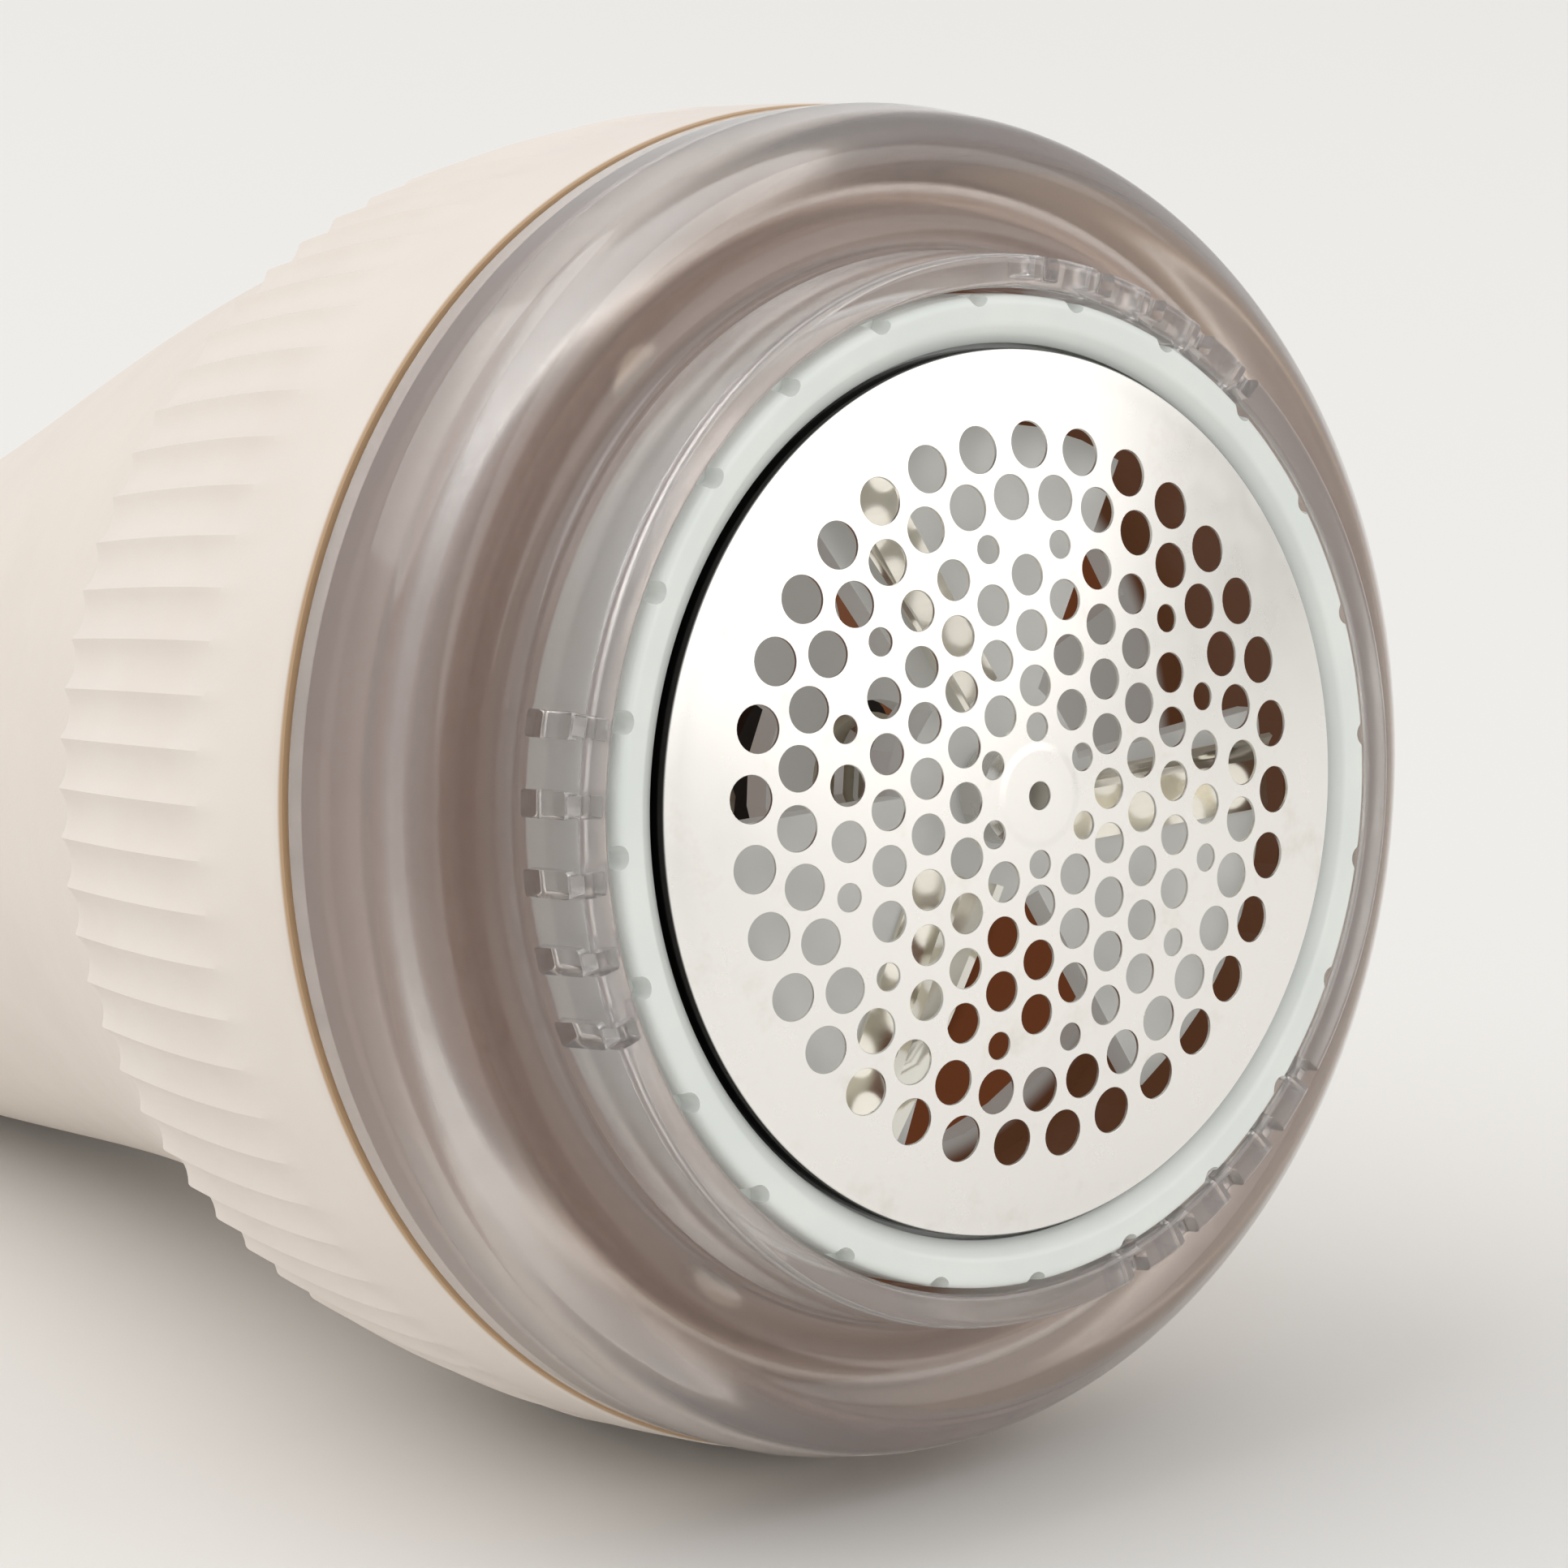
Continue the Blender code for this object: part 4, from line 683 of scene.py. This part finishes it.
def makeDial(finishes):
    front, back, steps = dial["front"], dial["back"], dial["steps"]
    heights = [front - 0.5 * mm + (back + 1.0 * mm - front) * i / steps for i in range(steps + 1)]
    outer = [(dialRadius(height), height) for height in heights]
    lipTop = back + dial["lipLength"]
    profile = [
        (dial["bore"], front), (dial["radius"] - 0.55 * mm, front),
        (dial["radius"] - 0.18 * mm, front - 0.12 * mm), *outer,
        (outer[-1][0] - 0.15 * mm, back + 0.15 * mm), (outer[-1][0] - 0.6 * mm, back),
        (dial["lipBore"], back), (dial["lipBore"], lipTop), (dial["lipBore"] + dial["lipStep"], lipTop),
        (dial["bore"], back + dial["boreStep"]),
    ]
    shape = turn(profile, dial["flutes"] * dial["perFlute"])
    for vert in shape.verts:  # the outer skin is pressed in between the ribs
        away = math.hypot(vert.co.x, vert.co.y)
        share = (dial["fadeStart"] - vert.co.z) / (dial["fadeStart"] - dial["fadeEnd"])
        share = min(1.0, max(0.0, share))
        share = share * share * (3 - 2 * share)
        if away < dialRadius(vert.co.z) - dial["skin"] or not share:
            continue
        phase = (math.atan2(vert.co.y, vert.co.x) / (2 * math.pi) * dial["flutes"] + 0.5) % 1.0
        hollow = 1 - abs(2 * phase - 1) ** dial["hollowPower"]
        scale = 1 - dial["depth"] * share * hollow / away
        vert.co.x *= scale
        vert.co.y *= scale
    finishPiece("heightDial", shape, headFrame, "dial", finishes["dial"], ["height_dial"], 28)


def gripRadius(along):
    left = max(0.0, 1 - along / grip["taper"])
    return grip["radius"] + (grip["frontRadius"] - grip["radius"]) * left * left


def centreLine(along):  # (offset, slope) of the bent centre line at a distance behind the grip's front edge
    if along <= grip["bendStart"]:
        return 0.0, 0.0
    if along >= grip["bendEnd"]:
        return -grip["drop"] + grip["slope"] * (along - grip["bendEnd"]), grip["slope"]
    span = grip["bendEnd"] - grip["bendStart"]
    t = (along - grip["bendStart"]) / span
    end = grip["slope"] * span
    offset = (3 * t**2 - 2 * t**3) * -grip["drop"] + (t**3 - t**2) * end
    rate = (6 * t - 6 * t**2) * -grip["drop"] + (3 * t**2 - 2 * t) * end
    return offset, rate / span


def bend(mesh):
    for vertex in mesh.vertices:
        spot = vertex.co.copy()
        offset, slope = centreLine(grip["front"] - spot.z)
        lean = math.atan(slope)
        vertex.co = (offset + spot.x * math.cos(lean), spot.y, spot.z + spot.x * math.sin(lean))


shell = {
    "steps": 96, "stations": 64, "edge": 0.35 * mm, "innerFrom": 6 * mm, "seam": 0.06 * mm,
    "mouth": 28.9 * mm, "mouthEnd": -46.5 * mm,
    "rib": 27.8 * mm, "ribBack": -45.0 * mm, "ribFront": -43.5 * mm,
    "buttonGap": 0.25 * mm, "lensGap": 0.15 * mm,
}
screw = {
    "spots": ((21.5 * mm, 11.5 * mm), (-21.5 * mm, 11.5 * mm), (0, 34.5 * mm), (-9.8 * mm, 101 * mm)),
    "boss": 2.5 * mm, "pilot": 1.15 * mm, "pilotDepth": 9 * mm, "sink": 2.1 * mm, "sinkFloor": 2.8 * mm,
    "seat": 3.1 * mm, "head": 1.8 * mm, "headRim": 0.5 * mm, "headTop": 1.1 * mm, "shank": 0.88 * mm,
    "length": 13 * mm, "point": 13.6 * mm, "crossWidth": 0.2 * mm, "crossReach": 1.05 * mm,
    "crossFloor": 0.45 * mm,
}


def screwSpots():  # (x, z, wall) of the four screws that hold the shells together
    spots = []
    for x, along in screw["spots"]:
        offset, slope = centreLine(along)
        lean = math.atan(slope)
        radius = gripRadius(along + screw["boss"]) - grip["wall"] * 0.35
        wall = math.sqrt(radius**2 - (abs(x) + screw["boss"]) ** 2)
        spots.append((offset + x * math.cos(lean), grip["front"] - along + x * math.sin(lean), wall))
    return spots


def shellOutline():
    length = grip["bendEnd"] + grip["straight"] - grip["capLength"] - grip["capGap"]
    stations = [length * i / shell["stations"] for i in range(shell["stations"] + 1)]
    front, edge = grip["front"], shell["edge"]
    outer = [(gripRadius(along), front - along) for along in stations]
    outer[0] = (outer[0][0] - edge, front)
    outer.insert(1, (gripRadius(edge), front - edge))
    inner = [(gripRadius(along) - grip["wall"], front - along) for along in reversed(stations)
             if along > shell["innerFrom"]]
    mouth, rib = shell["mouth"], shell["rib"]
    inner += [(mouth, shell["mouthEnd"]), (mouth, shell["ribBack"]), (rib, shell["ribBack"]),
              (rib, shell["ribFront"]), (mouth, shell["ribFront"]), (mouth, front)]
    return outer + inner


def makeGripShells(finishes):
    windows = ((button["place"], button["radius"] + shell["buttonGap"]),
               (lens["place"], lens["radius"] + shell["lensGap"]))
    halves = (("gripShellLeft", "grip_shell_left", 1), ("gripShellRight", "grip_shell_right", -1))
    for name, node, side in halves:
        shape = turn(shellOutline(), shell["steps"], sweep=180, begin=0 if side > 0 else 180)
        for vert in shape.verts:
            if abs(vert.co.y) < 1e-6:
                vert.co.y = side * shell["seam"]
        mesh = toMesh(name, shape)
        bend(mesh)
        cutter = bmesh.new()
        for place, size in windows:
            rod(cutter, (10 * mm, 0, place), (30 * mm, 0, place), size, 64)
        cutter.transform(headFrame.inverted() @ gripFrame)
        mesh = carve(mesh, cutter)
        bosses, pilots = bmesh.new(), bmesh.new()
        for x, z, wall in screwSpots():
            depth = screw["pilotDepth"] if side > 0 else wall + 4 * mm
            rod(bosses, (x, side * 0.15 * mm, z), (x, side * wall, z), screw["boss"], 40)
            rod(pilots, (x, -side * mm, z), (x, side * depth, z), screw["pilot"], 32)
        mesh = carve(carve(mesh, bosses, "UNION"), pilots)
        if side < 0:
            sinks = bmesh.new()
            for x, z, wall in screwSpots():
                rod(sinks, (x, -(wall - screw["sinkFloor"]), z), (x, -wall - 8 * mm, z), screw["sink"], 32)
            mesh = carve(mesh, sinks)
        finishPiece(name, mesh, headFrame, "body", finishes["cream"], [node], 34)


cap = {
    "spigot": 1.2 * mm, "round": 1.7 * mm, "dishFrom": 4 * mm, "dishTo": 5 * mm, "dish": 0.25 * mm,
    "inletGap": 0.3 * mm, "inletRound": 1.4 * mm,
}


def makeEndCap(finishes):
    outside = gripRadius(grip["bendEnd"] + grip["straight"])
    face = -grip["straight"]
    shoulder = face + grip["capLength"]
    spigot, top = outside - grip["wall"] - grip["capGap"], shoulder + cap["spigot"]
    profile = softened([
        (0, top, 0), (spigot, top, 0.2 * mm), (spigot, shoulder, 0), (outside, shoulder, 0.15 * mm),
        (outside, face, cap["round"]), (outside - cap["dishFrom"], face, 0.6 * mm),
        (outside - cap["dishTo"], face + cap["dish"], 0.6 * mm), (0, face + cap["dish"], 0),
    ], 8)
    mesh = toMesh("cap", turn(profile, 128, closed=False))
    cutter = bmesh.new()
    low, high = socketBox()
    past = Vector((cap["inletGap"], cap["inletGap"], 3 * mm))
    block(cutter, low - past, high + past, cap["inletRound"])
    finishPiece("endCap", carve(mesh, cutter), gripFrame, "body", finishes["cream"], ["end_cap"])


button = {
    "place": 12 * mm, "radius": 5.5 * mm, "top": 21.2 * mm, "dish": 0.45 * mm, "edge": 0.7 * mm,
    "flangeDrop": 5.8 * mm, "flangeWidth": 1.2 * mm, "flangeThick": 1.2 * mm,
}
lens = {"place": -5 * mm, "radius": 1.5 * mm}
socket = {
    "half": (1.6 * mm, 4.47 * mm, 3.65 * mm), "round": 1.2 * mm, "wall": 0.32 * mm, "mouthRound": 1.0 * mm,
    "floor": 1.2 * mm, "tongue": (0.35 * mm, 3.3 * mm), "tongueFront": 1.0 * mm, "tongueBack": 0.8 * mm,
}


def socketBox():
    low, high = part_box("charging_socket")
    corners = [gripFrame.inverted() @ Vector((x, y, z)) for x in (low.x, high.x) for y in (low.y, high.y)
               for z in (low.z, high.z)]
    middle = sum(corners, Vector()) / 8
    half = Vector(socket["half"])
    return middle - half, middle + half


def makeButton(finishes):
    top, radius = button["top"], button["radius"]
    flange, rim = top - button["flangeDrop"], radius + button["flangeWidth"]
    foot = flange - button["flangeThick"]
    profile = softened([
        (0, top - button["dish"], 0), (radius * 0.55, top - 0.35 * mm, 1.5 * mm),
        (radius - 0.5 * mm, top, 0.5 * mm), (radius, top - button["edge"], 0.4 * mm),
        (radius, flange, 0.1 * mm), (rim, flange, 0.2 * mm), (rim, foot, 0.2 * mm), (0, foot, 0),
    ], 8)
    shape = turn(profile, 96, closed=False)
    shape.transform(Matrix.Translation((0, 0, button["place"])) @ Matrix.Rotation(math.radians(90), 4, "Y"))
    finishPiece("powerButton", shape, gripFrame, "button", finishes["button"], ["power_button"])


def makeSocket(finishes):
    low, high = socketBox()
    wall, (thick, wide) = socket["wall"], socket["tongue"]
    shape = bmesh.new()
    block(shape, low, high, socket["round"], segments=6)
    mouth = bmesh.new()
    block(mouth, (low.x + wall, low.y + wall, low.z - 2 * mm),
          (high.x - wall, high.y - wall, high.z - socket["floor"]), socket["mouthRound"], segments=6)
    mesh = carve(toMesh("socket", shape), mouth)
    tongue = bmesh.new()
    middle = (low.x + high.x) / 2
    block(tongue, (middle - thick, -wide, low.z + socket["tongueFront"]),
          (middle + thick, wide, high.z - socket["tongueBack"]), 0.12 * mm)
    mesh = carve(mesh, tongue, "UNION")
    finishPiece("chargingSocket", mesh, gripFrame, "body", finishes["nickel"], ["charging_socket"])


def makeShellScrews(finishes):
    head, shank, width, reach = screw["head"], screw["shank"], screw["crossWidth"], screw["crossReach"]
    for i, (x, z, wall) in enumerate(screwSpots()):
        profile = softened([
            (0, screw["headTop"], 0), (0.9 * mm, 1.05 * mm, 0.3 * mm), (head, screw["headRim"], 0.3 * mm),
            (head, 0, 0.05 * mm), (shank, 0, 0), (shank, -screw["length"], 0.1 * mm), (0, -screw["point"], 0),
        ])
        mesh = toMesh("screw", turn(profile, 40, closed=False))
        for wide, deep in ((width, reach), (reach, width)):
            cross = bmesh.new()
            block(cross, (-wide, -deep, screw["crossFloor"]), (wide, deep, 2 * mm))
            mesh = carve(mesh, cross)
        seat = -(wall - screw["seat"])
        place = headFrame @ Matrix.Translation((x, seat, z)) @ Matrix.Rotation(math.radians(90), 4, "X")
        nodes = [f"shell_screw_{i + 1}"]
        finishPiece(f"shellScrew{i + 1}", mesh, place, "body", finishes["turnedSteel"], nodes)


blade = {
    "count": 3, "turn": 28, "start": 5.0 * mm, "end": 19.4 * mm, "steps": 14,
    "base": -3.3 * mm, "foot": 3.4 * mm, "footEdge": 0.7 * mm, "bend": 0.25 * mm, "tip": 0.55 * mm,
    "thick": 0.27 * mm, "gap": 0.9 * mm,
}


def makeBlades(finishes):  # a bent strip: a foot that lies on the hub, and an edge ground to follow the foil
    base, bent = blade["base"], blade["bend"]
    foot = [(-blade["foot"], base + 0.02 * mm), (-blade["footEdge"], base), (-bent, base + bent)]
    edge = [(bent, -bent), (blade["tip"], 0)]  # heights from the ground edge
    along = Vector(((blade["end"] - blade["start"]) / blade["steps"], 0, 0))
    for i in range(blade["count"]):
        shape = bmesh.new()
        spots = [shape.verts.new((blade["start"], y, z)) for y, z in foot + edge]
        edges = [shape.edges.new(pair) for pair in zip(spots, spots[1:])]
        for step in range(blade["steps"]):
            grown = bmesh.ops.extrude_edge_only(shape, edges=edges)["geom"]
            edges = [part for part in grown if isinstance(part, bmesh.types.BMEdge)]
            ends = [part for part in grown if isinstance(part, bmesh.types.BMVert)]
            bmesh.ops.translate(shape, verts=ends, vec=along)
        for vert in shape.verts:
            if vert.co.y > 0:
                vert.co.z += dome(vert.co.x) - blade["gap"]
        bmesh.ops.recalc_face_normals(shape, faces=shape.faces)
        bmesh.ops.solidify(shape, geom=shape.faces[:], thickness=-blade["thick"])
        bmesh.ops.recalc_face_normals(shape, faces=shape.faces)
        if shape.calc_volume(signed=True) < 0:  # recalculating can turn a thin strip inside out
            bmesh.ops.reverse_faces(shape, faces=shape.faces)
        shape.transform(Matrix.Rotation(math.radians(360 / blade["count"] * i + blade["turn"]), 4, "Z"))
        nodes = [f"blade_{i + 1}"]
        finishPiece(f"blade{i + 1}", shape, headFrame, "rotor", finishes["blade"], nodes, 25)


def dressNodes(finishes):  # gives every node that is still shown its finish
    looks = {
        "head_housing": "brown", "cutter_bowl": "bowl", "blade_hub": "grey", "hub_cap": "turnedSteel",
        "hub_spring": "turnedSteel", "drive_dog": "nylon", "motor_shaft": "turnedSteel",
        "motor_armature": "copper", "motor_can": "nickel", "motor_end_cap": "black", "front_bearing": "brass",
        "shaft_seal": "rubber", "dial_detent_spring": "turnedSteel", "battery_cell": "wrap",
        "battery_cradle": "nylon", "battery_tab_front": "nickel", "battery_tab_rear": "nickel",
        "circuit_board": "board", "charge_chip": "black", "power_switch": "black", "switch_plunger": "button",
        "button_spring": "turnedSteel", "indicator_led": "lamp", "indicator_lens": "button",
        "motor_wire_red": "red", "motor_wire_black": "black",
    }
    looks.update({f"motor_magnet_{i}": "ferrite" for i in (1, 2)})
    looks.update({f"motor_screw_{i}": "turnedSteel" for i in (1, 2)})
    looks.update({f"bowl_screw_{i}": "turnedSteel" for i in (1, 2, 3)})
    for name, node in frame["nodes"].items():
        if name in looks:
            node.data.materials.clear()
            node.data.materials.append(finishes[looks[name]].material)


setStage()
finishes = makeFinishes()
print("finishes made")
makeFoil(finishes)
print("foil made")
makeFoilRing(finishes)
makeGuard(finishes)
makeDial(finishes)
print("head made")
makeGripShells(finishes)
makeEndCap(finishes)
makeButton(finishes)
makeSocket(finishes)
makeShellScrews(finishes)
print("grip made")
makeBlades(finishes)
dressNodes(finishes)
print("rotor and inner pieces made")
